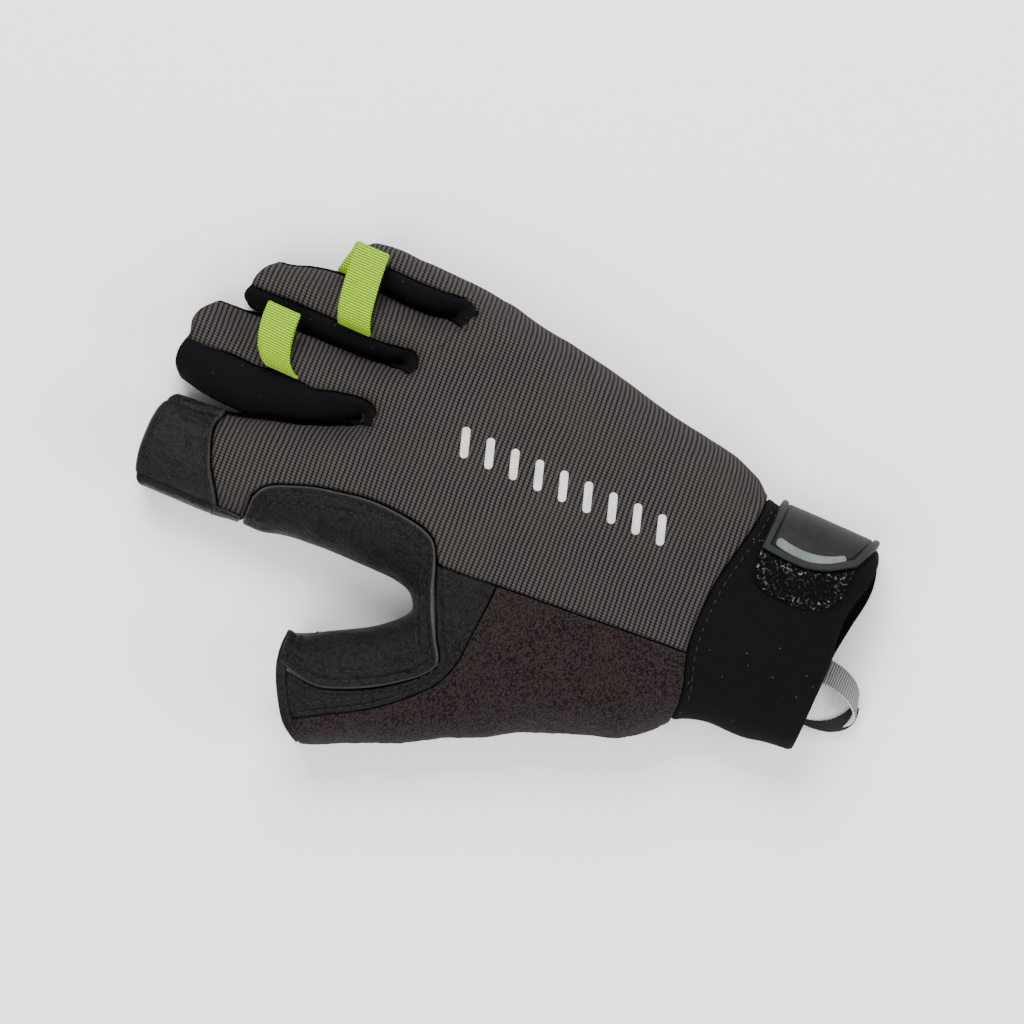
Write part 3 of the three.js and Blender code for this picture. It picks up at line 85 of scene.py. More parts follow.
RADIAL = [
    (-39.6, 118, 12.5), (-39.5, 101.5, 12.5), (-39.3, 92, 12.5), (-38.9, 80, 12.5),
    (-37.7, 71.5, 12.8), (-37.9, 68, 13), (-37.8, 64, 13), (-36.5, 58, 13), (-35.3, 50, 13.3),
    (-35, 40, 13.5), (-35, 30, 13.5), (-35.1, 23, 12.5), (-36.6, 18, 11), (-41, 15.2, 10.5),
    (-45, 17.6, 11), (-50, 23.5, 12), (-53.7, 29.5, 13), (-57.4, 36, 13.5), (-60, 41, 13.5),
    (-61.5, 45, 13.5), (-63.6, 51, 13.5), (-67.4, 60, 13.5),
]
THUMB_OUTER = [
    (-97, 48, 13.5), (-89, 30, 13.5), (-80, 10, 14), (-75, 0, 14), (-70, -9, 14), (-65, -19, 14),
    (-60, -27, 14), (-57, -35, 13.5), (-54, -43, 13), (-50, -53, 12.5), (-45, -60, 12),
    (-40.2, -64.6, 12), (-38, -68, 12), (-36.2, -74, 12), (-36, -85, 12), (-34.6, -92, 12),
    (-34, -99, 12), (-33.6, -112, 12),
]
# Where each finger's cloth ends before its mouth's curve is given.
INDEX_END, MIDDLE_END, RING_END, LITTLE_END = 101.5, 103.5, 92.5, 69.5
# Share of the palm's depth along the hand, and the soft folds pressed into the back:
# middle, heading in degrees, half length, half width and depth.
DEPTHS = [
    (-112.3, 0.8), (-66.6, 0.82), (-41.6, 0.9), (-8.3, 1), (25, 0.97), (47.8, 0.88),
    (66.6, 0.77), (89.4, 0.68), (118.6, 0.65),
]
FOLDS = [
    (-40.5, -6.2, 12, 18, 3.15, 0.93), (-32.4, -49.9, 68, 12.6, 3.6, 0.93),
    (-4.5, 41.6, -30, 14.4, 4.5, 1.09), (27, 25, -35, 16.2, 4.5, 1.24),
    (4.5, -54.1, 4, 27, 3.6, 0.78),
]
# Mouth of each finger seen from above: where the finger lies, its end, and the mouth's curve.
MOUTHS = [
    (-60, -9.8, INDEX_END, [
        (-39.5, 100.8), (-37, 103.2), (-30, 105), (-18, 104.9), (-14.6, 103.4), (-12.5, 101.2)]),
    (-9.8, 18.6, MIDDLE_END, [
        (-7.3, 103.4), (-4.5, 106.2), (1, 107.6), (5, 106.6), (9, 107.2), (13, 105.9),
        (17.4, 102)]),
    (18.6, 38.8, RING_END, [
        (19, 93.6), (21, 95.5), (24.5, 94.6), (28, 94.5), (32, 93), (34.8, 90.4)]),
    (38.8, 60, LITTLE_END, [
        (39.4, 68.4), (42, 70.4), (45, 71.2), (48, 70.4), (50.4, 68)]),
]
print("glove", GLOVE_LENGTH, "mm long on a palm", PALM_BREADTH, "mm broad")

# %% [markdown]
# ## Lines
# A sewn edge is a smooth line through a few points. We use a centripetal Catmull-Rom curve,
# because it doesn't loop or overshoot where the points lie unevenly.


# %% Curves through points
def curve(knots, per=12):
    """Centripetal Catmull-Rom line: between two knots, a cubic whose end slopes come from the
    neighbouring knots, weighed by the square root of the distances between them."""
    k = np.asarray(knots, float)
    k = np.vstack([2 * k[0] - k[1], k, 2 * k[-1] - k[-2]])
    d = np.maximum(np.sum(np.diff(k, axis=0) ** 2, axis=1) ** 0.25, 1e-4)[:, None]
    p0, p1, p2, p3 = k[:-3], k[1:-2], k[2:-1], k[3:]
    d0, d1, d2 = d[:-2], d[1:-1], d[2:]
    m1 = ((p1 - p0) / d0 - (p2 - p0) / (d0 + d1) + (p2 - p1) / d1) * d1
    m2 = ((p2 - p1) / d1 - (p3 - p1) / (d1 + d2) + (p3 - p2) / d2) * d1
    t = (np.arange(per) / per)[None, :, None]
    h = (2 * t**3 - 3 * t**2 + 1, t**3 - 2 * t**2 + t, 3 * t**2 - 2 * t**3, t**3 - t**2)
    fine = sum(w * p[:, None] for w, p in zip(h, (p1, m1, p2, m2)))
    return np.vstack([fine.reshape(-1, k.shape[1]), k[-2]])


def walked(points):
    """Distance along a line of points from its first one."""
    return np.concatenate([[0], np.cumsum(np.linalg.norm(np.diff(points, axis=0), axis=1))])


def course(points, shares):
    """Points of a line at shares of its whole length."""
    way = walked(points)
    at = np.asarray(shares) * way[-1]
    return np.stack([np.interp(at, way, points[:, i]) for i in range(points.shape[1])], -1)


def even(points, count):
    """A line cut into count equal steps."""
    return course(np.asarray(points, float), np.linspace(0, 1, count + 1))


def straight(a, b, shares):
    """The straight line from a to b at some shares."""
    return a + (b - a) * np.asarray(shares)[:, None]


def unit(vectors):
    """Vectors made one long."""
    return vectors / np.linalg.norm(vectors, axis=-1)[..., None]


def left_of(points):
    """Unit directions to the left of a plan line."""
    step = unit(np.gradient(points, axis=0))
    return np.stack([-step[:, 1], step[:, 0]], 1)


def shift(points, distance):
    """A plan line moved sideways, to the left of its direction."""
    return points + distance * left_of(points)


def towards(count, kind="even"):
    """Shares from 0 to 1 that crowd at a side edge: at the end, the start or both."""
    t = np.linspace(0, 1, count + 1)
    return {"even": t, "end": np.sin(t * np.pi / 2), "start": 1 - np.cos(t * np.pi / 2),
            "both": (1 - np.cos(t * np.pi)) / 2}[kind]


def ease(t):
    """Smooth step: 3t squared less 2t cubed, with t held between 0 and 1."""
    t = np.clip(t, 0, 1)
    return t * t * (3 - 2 * t)


def span(t, a, b):
    """Where t lies between a and b, from 0 to 1."""
    return np.clip((t - a) / (b - a), 0, 1)


def hill(t, middle, width):
    """A smooth hill, 1 high: e to the minus square of the distance from its middle in widths."""
    return np.exp(-(((t - middle) / width) ** 2))


# %% [markdown]
# ## The pillow
# A glove lying flat is a pillow over its outline. The edge is round: at a distance d inside the
# outline, the back has risen along a quarter ellipse, and past the rounding it goes on level.
# Distances are measured to the nearest of six outlines, so the fingers, the forks and the
# crotch of the thumb all round off by themselves.


# %% Side outlines
def inset_of(arc, r):
    """Plan distance inside the outline of a point so far round the rounded edge: within a
    quarter turn it is r times (1 - cos(arc / r)), and past it the rest of the arc is added."""
    quarter = r * np.pi / 2
    return np.where(arc < quarter, r * (1 - np.cos(np.minimum(arc / r, 2))), r + arc - quarter)


class Side:
    """A side outline: place xy, rounding r, direction n into the cloth, walked distance s."""

    def __init__(self, rows, inward):
        fine = curve(rows, 20)
        self.xy, self.r = fine[:, :2], fine[:, 2]
        self.n = inward * left_of(self.xy)
        self.s = walked(self.xy)

    def at(self, s):
        """Place, rounding and inward direction at walked distances."""
        s = np.asarray(s, float)
        take = [np.interp(s, self.s, v) for v in (*self.xy.T, self.r, *self.n.T)]
        return np.stack(take[:2], -1), take[2], unit(np.stack(take[3:], -1))

    def inside(self, s, arc):
        """Plan point that lies so far round the rounded edge, on either side of the cloth."""
        xy, r, n = self.at(s)
        return xy + n * inset_of(np.abs(arc), r)[..., None]

    def crossing(self, y, from_end=False):
        """Walked distance where the outline crosses a height."""
        high = self.xy[:, 1] - y
        hit = np.nonzero(high[:-1] * high[1:] <= 0)[0]
        i = hit[-1] if from_end else hit[0]
        return self.s[i] + (self.s[i + 1] - self.s[i]) * high[i] / (high[i] - high[i + 1])

    def spread(self, start, end, count, bend=7.0):
        """Walked distances from start to end, closer together where the outline bends."""
        s = np.linspace(start, end, 600)
        _, _, n = self.at(s)
        turn = np.arccos(np.clip(np.sum(n[1:] * n[:-1], 1), -1, 1))
        weight = np.concatenate([[0], np.cumsum(np.abs(np.diff(s)) + bend * turn)])
        found = np.interp(np.linspace(0, weight[-1], count + 1), weight, s)
        found[0], found[-1] = start, end
        return found


ulnar, radial, thumb_outer = Side(ULNAR, 1), Side(RADIAL, 1), Side(THUMB_OUTER, 1)
SLITS = (SLIT_INDEX_MIDDLE, SLIT_MIDDLE_RING, SLIT_RING_LITTLE)
slit_im, slit_mr, slit_rl = (Side(rows, -1) for rows in SLITS)
OUTLINES = [ulnar, radial, thumb_outer, slit_im, slit_mr, slit_rl]
print("outlines run", round(sum(o.s[-1] for o in OUTLINES)), "mm in all")


# %% Distance to the nearest outline
BATCH = 6000  # points compared with a whole line at once


def nearest(xy):
    """For plan points, the distance to the nearest outline in roundings, its rounding, the
    direction into the cloth and the distance in millimetres. The nearest line point comes
    from the squares |p|^2 - 2 p.l + |l|^2, then the two segments beside it are tried."""
    best = np.full(len(xy), np.inf)
    r, g, d = np.zeros(len(xy)), np.zeros((len(xy), 2)), np.zeros(len(xy))
    for line in OUTLINES:
        k = np.concatenate([np.argmin(np.sum(line.xy**2, 1) - 2 * part @ line.xy.T, axis=1)
                            for part in np.array_split(xy, len(xy) // BATCH + 1)])
        low = np.full(len(xy), np.inf)
        hit = np.zeros(len(xy))
        for i in (np.clip(k - 1, 0, len(line.s) - 2), np.clip(k, 0, len(line.s) - 2)):
            a, way = line.xy[i], line.xy[i + 1] - line.xy[i]
            t = np.clip(np.sum((xy - a) * way, 1) / np.sum(way**2, 1), 0, 1)
            far = np.linalg.norm(xy - a - way * t[:, None], axis=1)
            closer = far < low
            low = np.where(closer, far, low)
            hit = np.where(closer, line.s[i] + t * (line.s[i + 1] - line.s[i]), hit)
        foot, foot_r, foot_n = line.at(hit)
        beyond = (np.sum((xy - foot) * foot_n, 1) < 0) & (low < 1)
        low = np.where(beyond, 0, low)
        away = np.where((low < 0.02)[:, None], foot_n, (xy - foot) / np.maximum(low, 1e-9)[:, None])
        new = low / foot_r < best
        best = np.where(new, low / foot_r, best)
        r, d = np.where(new, foot_r, r), np.where(new, low, d)
        g = np.where(new[:, None], away, g)
    return best, r, g, d


# %% Height of the cloth
BELOW = 0.45  # share of the depth below the side edges' middle
PROBE = 0.05  # step for the slope of the heights


def heights(x, y):
    """Height of the side edges' middle, and the rise of the back and drop of the palm from it."""
    rows = np.array(DEPTHS)
    i = np.clip(np.searchsorted(rows[:, 0], y) - 1, 0, len(rows) - 2)
    share = rows[i, 1] + (rows[i + 1, 1] - rows[i, 1]) * ease(span(y, rows[i, 0], rows[i + 1, 0]))
    across, along = x / PALM_BREADTH, y / GLOVE_LENGTH
    slim = 1 - 0.14 * ease(span(across, 0.15, 0.52)) * ease(span(along, 0.02, 0.26))
    hand = PALM_DEPTH * share * slim
    whole = hand + (THUMB_DEPTH - hand) * ease(span(-across, 0.42, 0.72))
    crown = PALM_CROWN * np.maximum(0, 1 - ((across - 0.08) / 0.5) ** 2)
    crown = crown * ease(span(along, -0.33, -0.2)) * ease(span(-along, -0.25, -0.1))
    dent = 0
    for fx, fy, heading, length, width, depth in FOLDS:
        c, s = math.cos(math.radians(heading)), math.sin(math.radians(heading))
        u, v = ((x - fx) * c + (y - fy) * s) / length, ((y - fy) * c - (x - fx) * s) / width
        dent = dent + depth * np.exp(-u * u - v * v)
    return BELOW * whole, np.stack([(1 - BELOW) * whole + crown - dent, BELOW * whole])


def cloth(xy, side, wrap=True):
    """Points of the glove's outside over plan points, side 1 for the back and -1 for the palm.
    z = middle + side * sqrt(1 - (1 - q)^2) * rise, with q the distance to the nearest outline
    in roundings. Gives place, outward direction, and the same point rolled out flat, in which
    the way round the edge keeps its length. With wrap, the flat plan runs on from the back
    round the side; without it, a panel of the palm side has a plan of its own."""
    shape = xy.shape[:-1]
    xy = xy.reshape(-1, 2)
    side = np.broadcast_to(side, shape).reshape(-1)
    q, r, g, d = nearest(xy)
    q = np.minimum(q, 1)
    x, y = xy.T
    pick = (side < 0).astype(int)
    rows = np.arange(len(x))
    mid, rise = heights(x, y)
    rise = rise[pick, rows]
    lift = side * np.sqrt(np.maximum(1 - (1 - q) ** 2, 0))
    normal = [-(1 - q) * g[:, 0] / r, -(1 - q) * g[:, 1] / r, lift / rise]
    for axis, (sx, sy) in enumerate(((PROBE, 0), (0, PROBE))):
        mid_on, rise_on = heights(x + sx, y + sy)
        slope = lift / rise * (mid_on - mid) + lift**2 / rise * (rise_on[pick, rows] - rise)
        normal[axis] = normal[axis] - slope / PROBE
    normal = np.stack(normal, -1)
    normal /= np.maximum(np.linalg.norm(normal, axis=1), 1e-9)[:, None]
    arc = (side if wrap else 1) * r * np.arccos(np.clip(1 - q, -1, 1))
    rolled = np.where(q < 1, arc - d - (np.pi / 2 - 1) * r, 0)
    flat = xy + g * rolled[:, None]
    made = np.concatenate([xy, (mid + lift * rise)[:, None], normal, flat], 1)
    return made.reshape(*shape, 8)


MOUTH_SLIDE = 16.0


def to_mouth(xy, share=1.0):
    """Slides the last part of each finger along itself, so that its end follows the curve of
    its mouth."""
    x, y = xy[..., 0], xy[..., 1]
    out = y.copy()
    for low, high, end, rim in MOUTHS:
        line = curve(rim, 8)
        pull = (np.interp(x, line[:, 0], line[:, 1]) - end) * share
        here = (x >= low) & (x < high) & (y > end - MOUTH_SLIDE)
        out = np.where(here, y + pull * ease((y - end + MOUTH_SLIDE) / MOUTH_SLIDE), out)
    return np.stack([x, out], -1)


def round_edge(line, s, arc, share=1.0):
    """Cloth on a grid of distances along an outline and arcs round its edge."""
    s, arc = np.broadcast_arrays(np.asarray(s, float)[:, None], arc)
    return cloth(to_mouth(line.inside(s, arc), share), np.where(arc >= 0, 1, -1))


def filled(bottom, top, left, right):
    """Coons patch in plan: the blend of two ruled grids less the grid of the corners."""
    def shares(a, b):
        wa, wb = walked(a), walked(b)
        return (wa / wa[-1] + wb / wb[-1]) / 2
    u, v = shares(bottom, top)[None, :, None], shares(left, right)[:, None, None]
    grid = ((1 - v) * bottom + v * top + (1 - u) * left[:, None] + u * right[:, None]
            - (1 - u) * (1 - v) * bottom[0] - u * (1 - v) * bottom[-1]
            - (1 - u) * v * top[0] - u * v * top[-1])
    grid[0], grid[-1], grid[:, 0], grid[:, -1] = bottom, top, left, right
    return grid


def ends(points, first, last):
    """A line whose two end points are set."""
    return np.vstack([first, points[1:-1], last])


# %% [markdown]
# ## From grids to pieces
# A panel of cloth is a skin over a few grids that share their border points. We weld the grids,
# push the skin out by the relief of the cloth, add an inner skin a wall lower, and close the rim.
# The distance of each point from the panel's border is kept as an attribute, because hems,
# stitch grooves, worn edges, the painted shade along the knit's seams and the painted highlight
# on the tab's rim all follow it.


# %% Welding and closing a panel
def weld(grids):
    """One list of points and one of quads from grids that share points. Quads face the way
    their points' outward directions do."""
    flat = np.concatenate([g.reshape(-1, g.shape[-1]) for g in grids])
    key = np.round(flat[:, :3] * 400).astype(np.int64)
    _, first, back = np.unique(key, axis=0, return_index=True, return_inverse=True)
    back = back.reshape(-1)
    points, quads, start = flat[first], [], 0
    for g in grids:
        h, w = g.shape[:2]
        ids = back[start:start + h * w].reshape(h, w)
        start += h * w
        q = np.stack([ids[:-1, :-1], ids[:-1, 1:], ids[1:, 1:], ids[1:, :-1]], -1).reshape(-1, 4)
        p = points[q, :3]
        facing = np.sum(np.cross(p[:, 2] - p[:, 0], p[:, 3] - p[:, 1]) * points[q[:, 0], 3:6])
        quads.append(q if facing > 0 else q[:, ::-1])
    return points, np.concatenate(quads)


def border(quads):
    """Directed edges that only one quad uses."""
    a, b = quads.ravel(), np.roll(quads, -1, axis=1).ravel()
    big = quads.max() + 1
    lone = (a != b) & ~np.isin(a * big + b, b * big + a)
    return np.stack([a[lone], b[lone]], 1)


def from_edge(points, edges):
    """Distance of every point from the panel's border."""
    a, b = points[edges[:, 0], :3], points[edges[:, 1], :3]
    rim = np.concatenate([a + (b - a) * t for t in (0, 0.25, 0.5, 0.75)])
    near = [np.min(np.sum(rim**2, 1) - 2 * part @ rim.T, axis=1) + np.sum(part**2, 1)
            for part in np.array_split(points[:, :3], 3 * len(points) // BATCH + 1)]
    return np.sqrt(np.maximum(np.concatenate(near), 0))


def put_object(name, data):
    """An object in the scene for a mesh, a lamp or the camera."""
    obj = bpy.data.objects.new(name, data)
    bpy.context.scene.collection.objects.link(obj)
    return obj


def put_mesh(name, points, faces, flat=None, marks=None, smooth=True):
    """A mesh object at the origin from points in millimetres and lists of quads and triangles."""
    faces = [f for f in (faces if isinstance(faces, list) else [faces]) if len(f)]
    whole = [f if f.shape[1] == 3 else f[(f[:, 0] != f[:, 1]) & (f[:, 1] != f[:, 2])
             & (f[:, 2] != f[:, 3]) & (f[:, 3] != f[:, 0])] for f in faces]
    for f in faces:
        if f.shape[1] == 4:
            for i in range(4):
                same = f[:, i] == f[:, (i + 1) % 4]
                whole.append(np.stack([f[same][:, (i + 1 + j) % 4] for j in range(3)], 1))
    whole = [f for f in whole if len(f)]
    loops = np.concatenate([f.ravel() for f in whole]).astype(np.int32)
    sizes = np.concatenate([np.full(len(f), f.shape[1]) for f in whole])
    mesh = bpy.data.meshes.new(name)
    mesh.vertices.add(len(points))
    mesh.vertices.foreach_set("co", (points[:, :3] * MM).astype(np.float32).ravel())
    mesh.loops.add(len(loops))
    mesh.loops.foreach_set("vertex_index", loops)
    mesh.polygons.add(len(sizes))
    starts = np.concatenate([[0], np.cumsum(sizes)[:-1]])
    mesh.polygons.foreach_set("loop_start", starts.astype(np.int32))
    mesh.update(calc_edges=True)
    mesh.polygons.foreach_set("use_smooth", np.full(len(sizes), smooth))
    if flat is not None:
        layer = mesh.uv_layers.new(name="flat")
        layer.data.foreach_set("uv", (flat[loops] * MM).astype(np.float32).ravel())
    for mark, values in (marks or {}).items():
        kept = mesh.attributes.new(mark, "FLOAT", "POINT")
        kept.data.foreach_set("value", values.astype(np.float32))
    return put_object(name, mesh)


def finish_piece(obj, material, nodes=()):
    """Gives a piece its material, its body and the nodes that it stands for."""
    obj.data.materials.append(material)
    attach(obj, "root")
    if nodes:
        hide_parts(*nodes)
    print(obj.name, len(obj.data.polygons), "faces")
    return obj


CUTS = {}


def panel(name, grids, wall, relief):
    """A closed panel: the welded skin moved out by relief(points, distance from the border),
    an inner skin a wall below the bare surface, and a rim. The mark "lining" is 1 inside."""
    points, quads = weld(grids)
    edges = border(quads)
    gap = from_edge(points, edges)
    lift = relief(points, gap)
    plan = points[quads, 6:8]
    a, b = plan[:, 2] - plan[:, 0], plan[:, 3] - plan[:, 1]
    area = np.abs(a[:, 0] * b[:, 1] - a[:, 1] * b[:, 0]).sum() / 2
    CUTS[name] = (*np.ptp(points[:, 6:8], axis=0), area)
    place, out = points[:, :3], points[:, 3:6]
    count = len(points)
    inner = np.minimum(lift, 0) - wall
    skin = np.concatenate([place + out * lift[:, None], place + out * inner[:, None]])
    rim = np.stack([edges[:, 0], edges[:, 0] + count, edges[:, 1] + count, edges[:, 1]], 1)
    return put_mesh(name, skin, [np.concatenate([quads, quads[:, ::-1] + count, rim])],
                    np.tile(points[:, 6:8], (2, 1)),
                    {"edge": np.tile(gap, 2), "lining": np.repeat([0.0, 1.0], count)})


def dressed(name, grids, wall, relief, finish, slot, *nodes):
    """A closed panel with its finish and the nodes that it stands for. The slot is not used."""
    return finish_piece(panel(name, grids, wall, relief), finishes[finish], nodes)


LATTICE = 64


def rough(at, scale, seed):
    """Smooth noise between -1 and 1: random values on a square lattice, eased between."""
    table = np.random.default_rng(seed).uniform(-1, 1, (LATTICE, LATTICE))
    p = at / scale + 1000
    i = np.floor(p).astype(int)
    t = ease(p - i)
    a, b = i[..., 0] % LATTICE, i[..., 1] % LATTICE
    c, d = (a + 1) % LATTICE, (b + 1) % LATTICE
    low = table[a, b] + (table[c, b] - table[a, b]) * t[..., 0]
    high = table[a, d] + (table[c, d] - table[a, d]) * t[..., 0]
    return low + (high - low) * t[..., 1]


def groove(gap, at, depth, width=0.55):
    """A dip beside the border, as a stitched row presses into soft stuff."""
    return -depth * hill(gap, at, width)


def rolled(gap, drop, width):
    """A border that rolls under: a quarter ellipse from -drop at the edge to 0."""
    t = np.clip(gap / width, 0, 1)
    return -drop * (1 - np.sqrt(1 - (1 - t) ** 2))


WALLS = {"knit": 1.5, "leather": 1.4, "terry": 2.0, "cuff": 2.2, "strip": 1.0, "hem": 0.6}
LAID_ON = -0.3  # a piece laid on a solid has its inner skin this far above the bare surface

# %% [markdown]
# ## Shader maths
# A finish is a small tree of nodes. To write it as sums, one class wraps a socket and lends it
# the usual operators, and another makes nodes: the type, its settings, then its inputs.


# %% Wires and finishes
class Wire:
    """A socket whose arithmetic adds Math nodes."""

    def __init__(self, finish, socket):
        self.finish, self.socket = finish, socket

    def maths(self, kind, *values, clamp=False):
        return self.finish.node("ShaderNodeMath", {"operation": kind, "use_clamp": clamp}, *values)

    def __add__(self, other): return self.maths("ADD", self, other)
    def __sub__(self, other): return self.maths("SUBTRACT", self, other)
    def __mul__(self, other): return self.maths("MULTIPLY", self, other)
    def __truediv__(self, other): return self.maths("DIVIDE", self, other)
    def __pow__(self, other): return self.maths("POWER", self, other)
    def __rsub__(self, other): return self.maths("SUBTRACT", other, self)
    def __rtruediv__(self, other): return self.maths("DIVIDE", other, self)
    __radd__, __rmul__ = __add__, __mul__

    def sin(self): return self.maths("SINE", self)
    def size(self): return self.maths("ABSOLUTE", self)

    def between(self, low, high):
        """0 at low, 1 at high, smooth between."""
        return self.finish.node("ShaderNodeMapRange", {"interpolation_type": "SMOOTHSTEP"},
                                Value=self, **{"From Min": low, "From Max": high})


class Finish:
    """A material being made. Constants sit on the shader's own sockets."""

    def __init__(self, name, **constants):
        self.material = bpy.data.materials.new(name)
        self.material.use_nodes = True
        self.tree = self.material.node_tree
        self.shader = self.tree.nodes["Principled BSDF"]
        for socket, value in constants.items():
            self.shader.inputs[socket.replace("_", " ")].default_value = value

    def put(self, socket, value):
        if isinstance(value, Wire):
            self.tree.links.new(value.socket, socket)
        else:
            socket.default_value = value

    def node(self, kind, settings=None, *values, out=0, **named):
        """A node of a type: its settings first, then its inputs in order or by name."""
        node = self.tree.nodes.new(kind)
        for key, value in (settings or {}).items():
            if key == "stops":
                ramp = node.color_ramp
                for i, (place, tint) in enumerate(value):
                    stop = ramp.elements[i] if i < 2 else ramp.elements.new(place)
                    stop.position, stop.color = place, (*tint, 1)
            else:
                setattr(node, key, value)
        by_name = ((node.inputs[key], value) for key, value in named.items())
        for socket, value in [*zip(node.inputs, values), *by_name]:
            self.put(socket, value)
        return Wire(self, node.outputs[out])

    def flat(self):
        """The piece rolled out flat, in millimetres: its two wires."""
        uv = self.node("ShaderNodeUVMap", {"uv_map": "flat"})
        parts = self.node("ShaderNodeSeparateXYZ", None, uv).socket.node
        return Wire(self, parts.outputs[0]) * 1000, Wire(self, parts.outputs[1]) * 1000

    def solid(self):
        """Place in the object, as a vector."""
        return self.node("ShaderNodeTexCoord", None, out=3)

    def mark(self, name):
        """A number kept on the points, such as the distance from the border."""
        return self.node("ShaderNodeAttribute", {"attribute_name": name}, out=2)

    def vector(self, x, y, z=0.0):
        return self.node("ShaderNodeCombineXYZ", None, x, y, z)

    def noise(self, at, scale, detail=2.0, rough=0.5):
        return self.node("ShaderNodeTexNoise", None, Vector=at, Scale=scale, Detail=detail,
                         Roughness=rough)

    def cells(self, at, scale, feature="F1", out=0, random=1.0):
        return self.node("ShaderNodeTexVoronoi", {"feature": feature}, out=out, Vector=at,
                         Scale=scale, Randomness=random)

    def ramp(self, value, *stops):
        return self.node("ShaderNodeValToRGB", {"stops": stops}, value)

    def mix(self, share, a, b, kind="MIX"):
        """Two colours mixed by a share; constants are colours of three numbers."""
        node = self.tree.nodes.new("ShaderNodeMix")
        node.data_type, node.blend_type = "RGBA", kind
        for socket, value in zip([node.inputs[i] for i in (0, 6, 7)], (share, a, b)):
            self.put(socket, value if isinstance(value, (Wire, float, int)) else (*value, 1))
        return Wire(self, node.outputs[2])

    def done(self, colour, roughness, height, depth, strength=1.0):
        """Colour, roughness and a bump whose height 1 stands depth metres high."""
        self.put(self.shader.inputs["Base Color"], colour)
        self.put(self.shader.inputs["Roughness"], roughness)
        bump = self.node("ShaderNodeBump", None, Strength=strength, Distance=depth, Height=height)
        self.put(self.shader.inputs["Normal"], bump)
        return self.material


def tint(r, g, b):
    """A colour as seen, 0 to 255, made linear: x/12.92 when dark, else ((x+0.055)/1.055)^2.4."""
    c = np.array([r, g, b]) / 255
    return tuple(float(v) for v in np.where(c <= 0.04045, c / 12.92, ((c + 0.055) / 1.055) ** 2.4))


# %% [markdown]
# ## Finishes
# Each cloth has its own scale. The knit of the back is a waffle: ridges 1.4 mm apart across the
# hand, cut into small blocks. Terry is a carpet of loops. Leather has a fine pebble and creases.
# The colours are dark, because the light is strong enough to make the floor nearly white.


# %% Waffle knit
RIDGE_PITCH, BLOCK_PITCH, WARP_PITCH = 1.4, 0.84, 0.62


def waffle_knit():
    f = Finish("waffle_knit", Specular_IOR_Level=0.1)
    u, v = f.flat()
    at = f.vector(u, v)
    sway = f.noise(at, 0.06, 2.0) * 1.6
    rows = ((v + sway - u * 0.06) * (math.pi / RIDGE_PITCH)).sin().size()
    blocks = ((u + sway * 0.4) * (2 * math.pi / BLOCK_PITCH)).sin() * 0.5 + 0.5
    height = (rows ** 0.6) * (blocks * 0.45 + 0.55) + f.noise(at, 5.0, 3.0, 0.7) * 0.3
    colour = f.mix(height.between(0.4, 1.0), tint(3, 3, 3), tint(66, 62, 60))
    colour = f.mix(f.noise(at, 0.05, 3.0).between(0.3, 0.75) * 0.12, colour, tint(66, 60, 57))
    # Painted shade: the knit darkens within a millimetre of its border, along its seams.
    colour = f.mix(f.mark("edge").between(1.0, 0.0) * 0.5, colour, tint(16, 15, 15))
    colour = f.mix(f.mark("lining"), colour, tint(20, 20, 20))
    return f.done(colour, 0.95, height, 0.00042)


# %% Terry
def terry():
    f = Finish("terry_loops", Specular_IOR_Level=0.08, Sheen_Weight=0.04, Sheen_Roughness=0.5)
    u, v = f.flat()
    at = f.vector(u * 0.8 + v * 0.5, v - u * 0.35)
    loops = f.cells(at, 1.7)
    height = (1 - loops) * 0.8 + f.noise(at, 2.6, 4.0, 0.75) * 0.8
    colour = f.mix(height.between(0.45, 1.3), tint(4, 3, 3), tint(54, 42, 41))
    colour = f.mix(f.noise(at, 0.08, 3.0, 0.6).between(0.35, 0.7) * 0.15, colour, tint(44, 35, 33))
    return f.done(colour, 0.95, height, 0.0005)


# %% Leather
def leather(name, shade, gloss, rim=0.0):
    """Smooth leather: a fine pebble, creases along the hand, and a paler cut edge."""
    f = Finish(name, Specular_IOR_Level=0.06)
    u, v = f.flat()
    at = f.vector(u, v)
    bend = f.noise(at, 0.45, 2.0) * 1.2
    pebble = f.cells(f.vector(u + bend, v + bend), 1.4)
    crease = f.noise(f.vector(u * 0.5 + bend * 0.3, v * 0.2), 1.1, 4.0, 0.6)
    height = pebble * 0.8 + crease.between(0.35, 0.6) * 0.2 + f.noise(at, 2.4, 3.0, 0.8) * 0.6
    # The pebble's tops are lighter than its hollows: the grain's own tone, and a painted sparkle of
    # highlight.
    low, high = (tint(*[shade * share] * 3) for share in (0.3, 1.5))
    colour = f.mix(height.between(0.35, 1.0), low, high)
    if rim:
        colour = f.mix(f.mark("edge").between(0.75, 0.25) * rim, colour, tint(70, 70, 69))
    return f.done(colour, f.noise(at, 0.3, 3.0).between(0.3, 0.7) * 0.1 + gloss, height, 0.00025)


# %% Fine black cloths
def fine_knit(name, dark, light, pitch, lint=0.0, depth=0.00018):
    """A stretch cloth: small stitches on a lattice, every second column half a stitch on, and
    a share of specks of lint."""
    f = Finish(name, Specular_IOR_Level=0.08)
    u, v = f.flat()
    a = (u * (math.pi / pitch)).sin().size()
    b = ((v + u * 0.5) * (math.pi / pitch)).sin().size()
    height = a * b + f.noise(f.vector(u, v), 2.5, 3.0, 0.7) * 0.5
    colour = f.mix(height.between(0.1, 1.3), dark, light)
    if lint:
        speck = f.cells(f.vector(u, v), 0.3).between(0.09, 0.05)
        colour = f.mix(speck * lint, colour, tint(100, 100, 98))
    return f.done(colour, 0.9, height, depth)


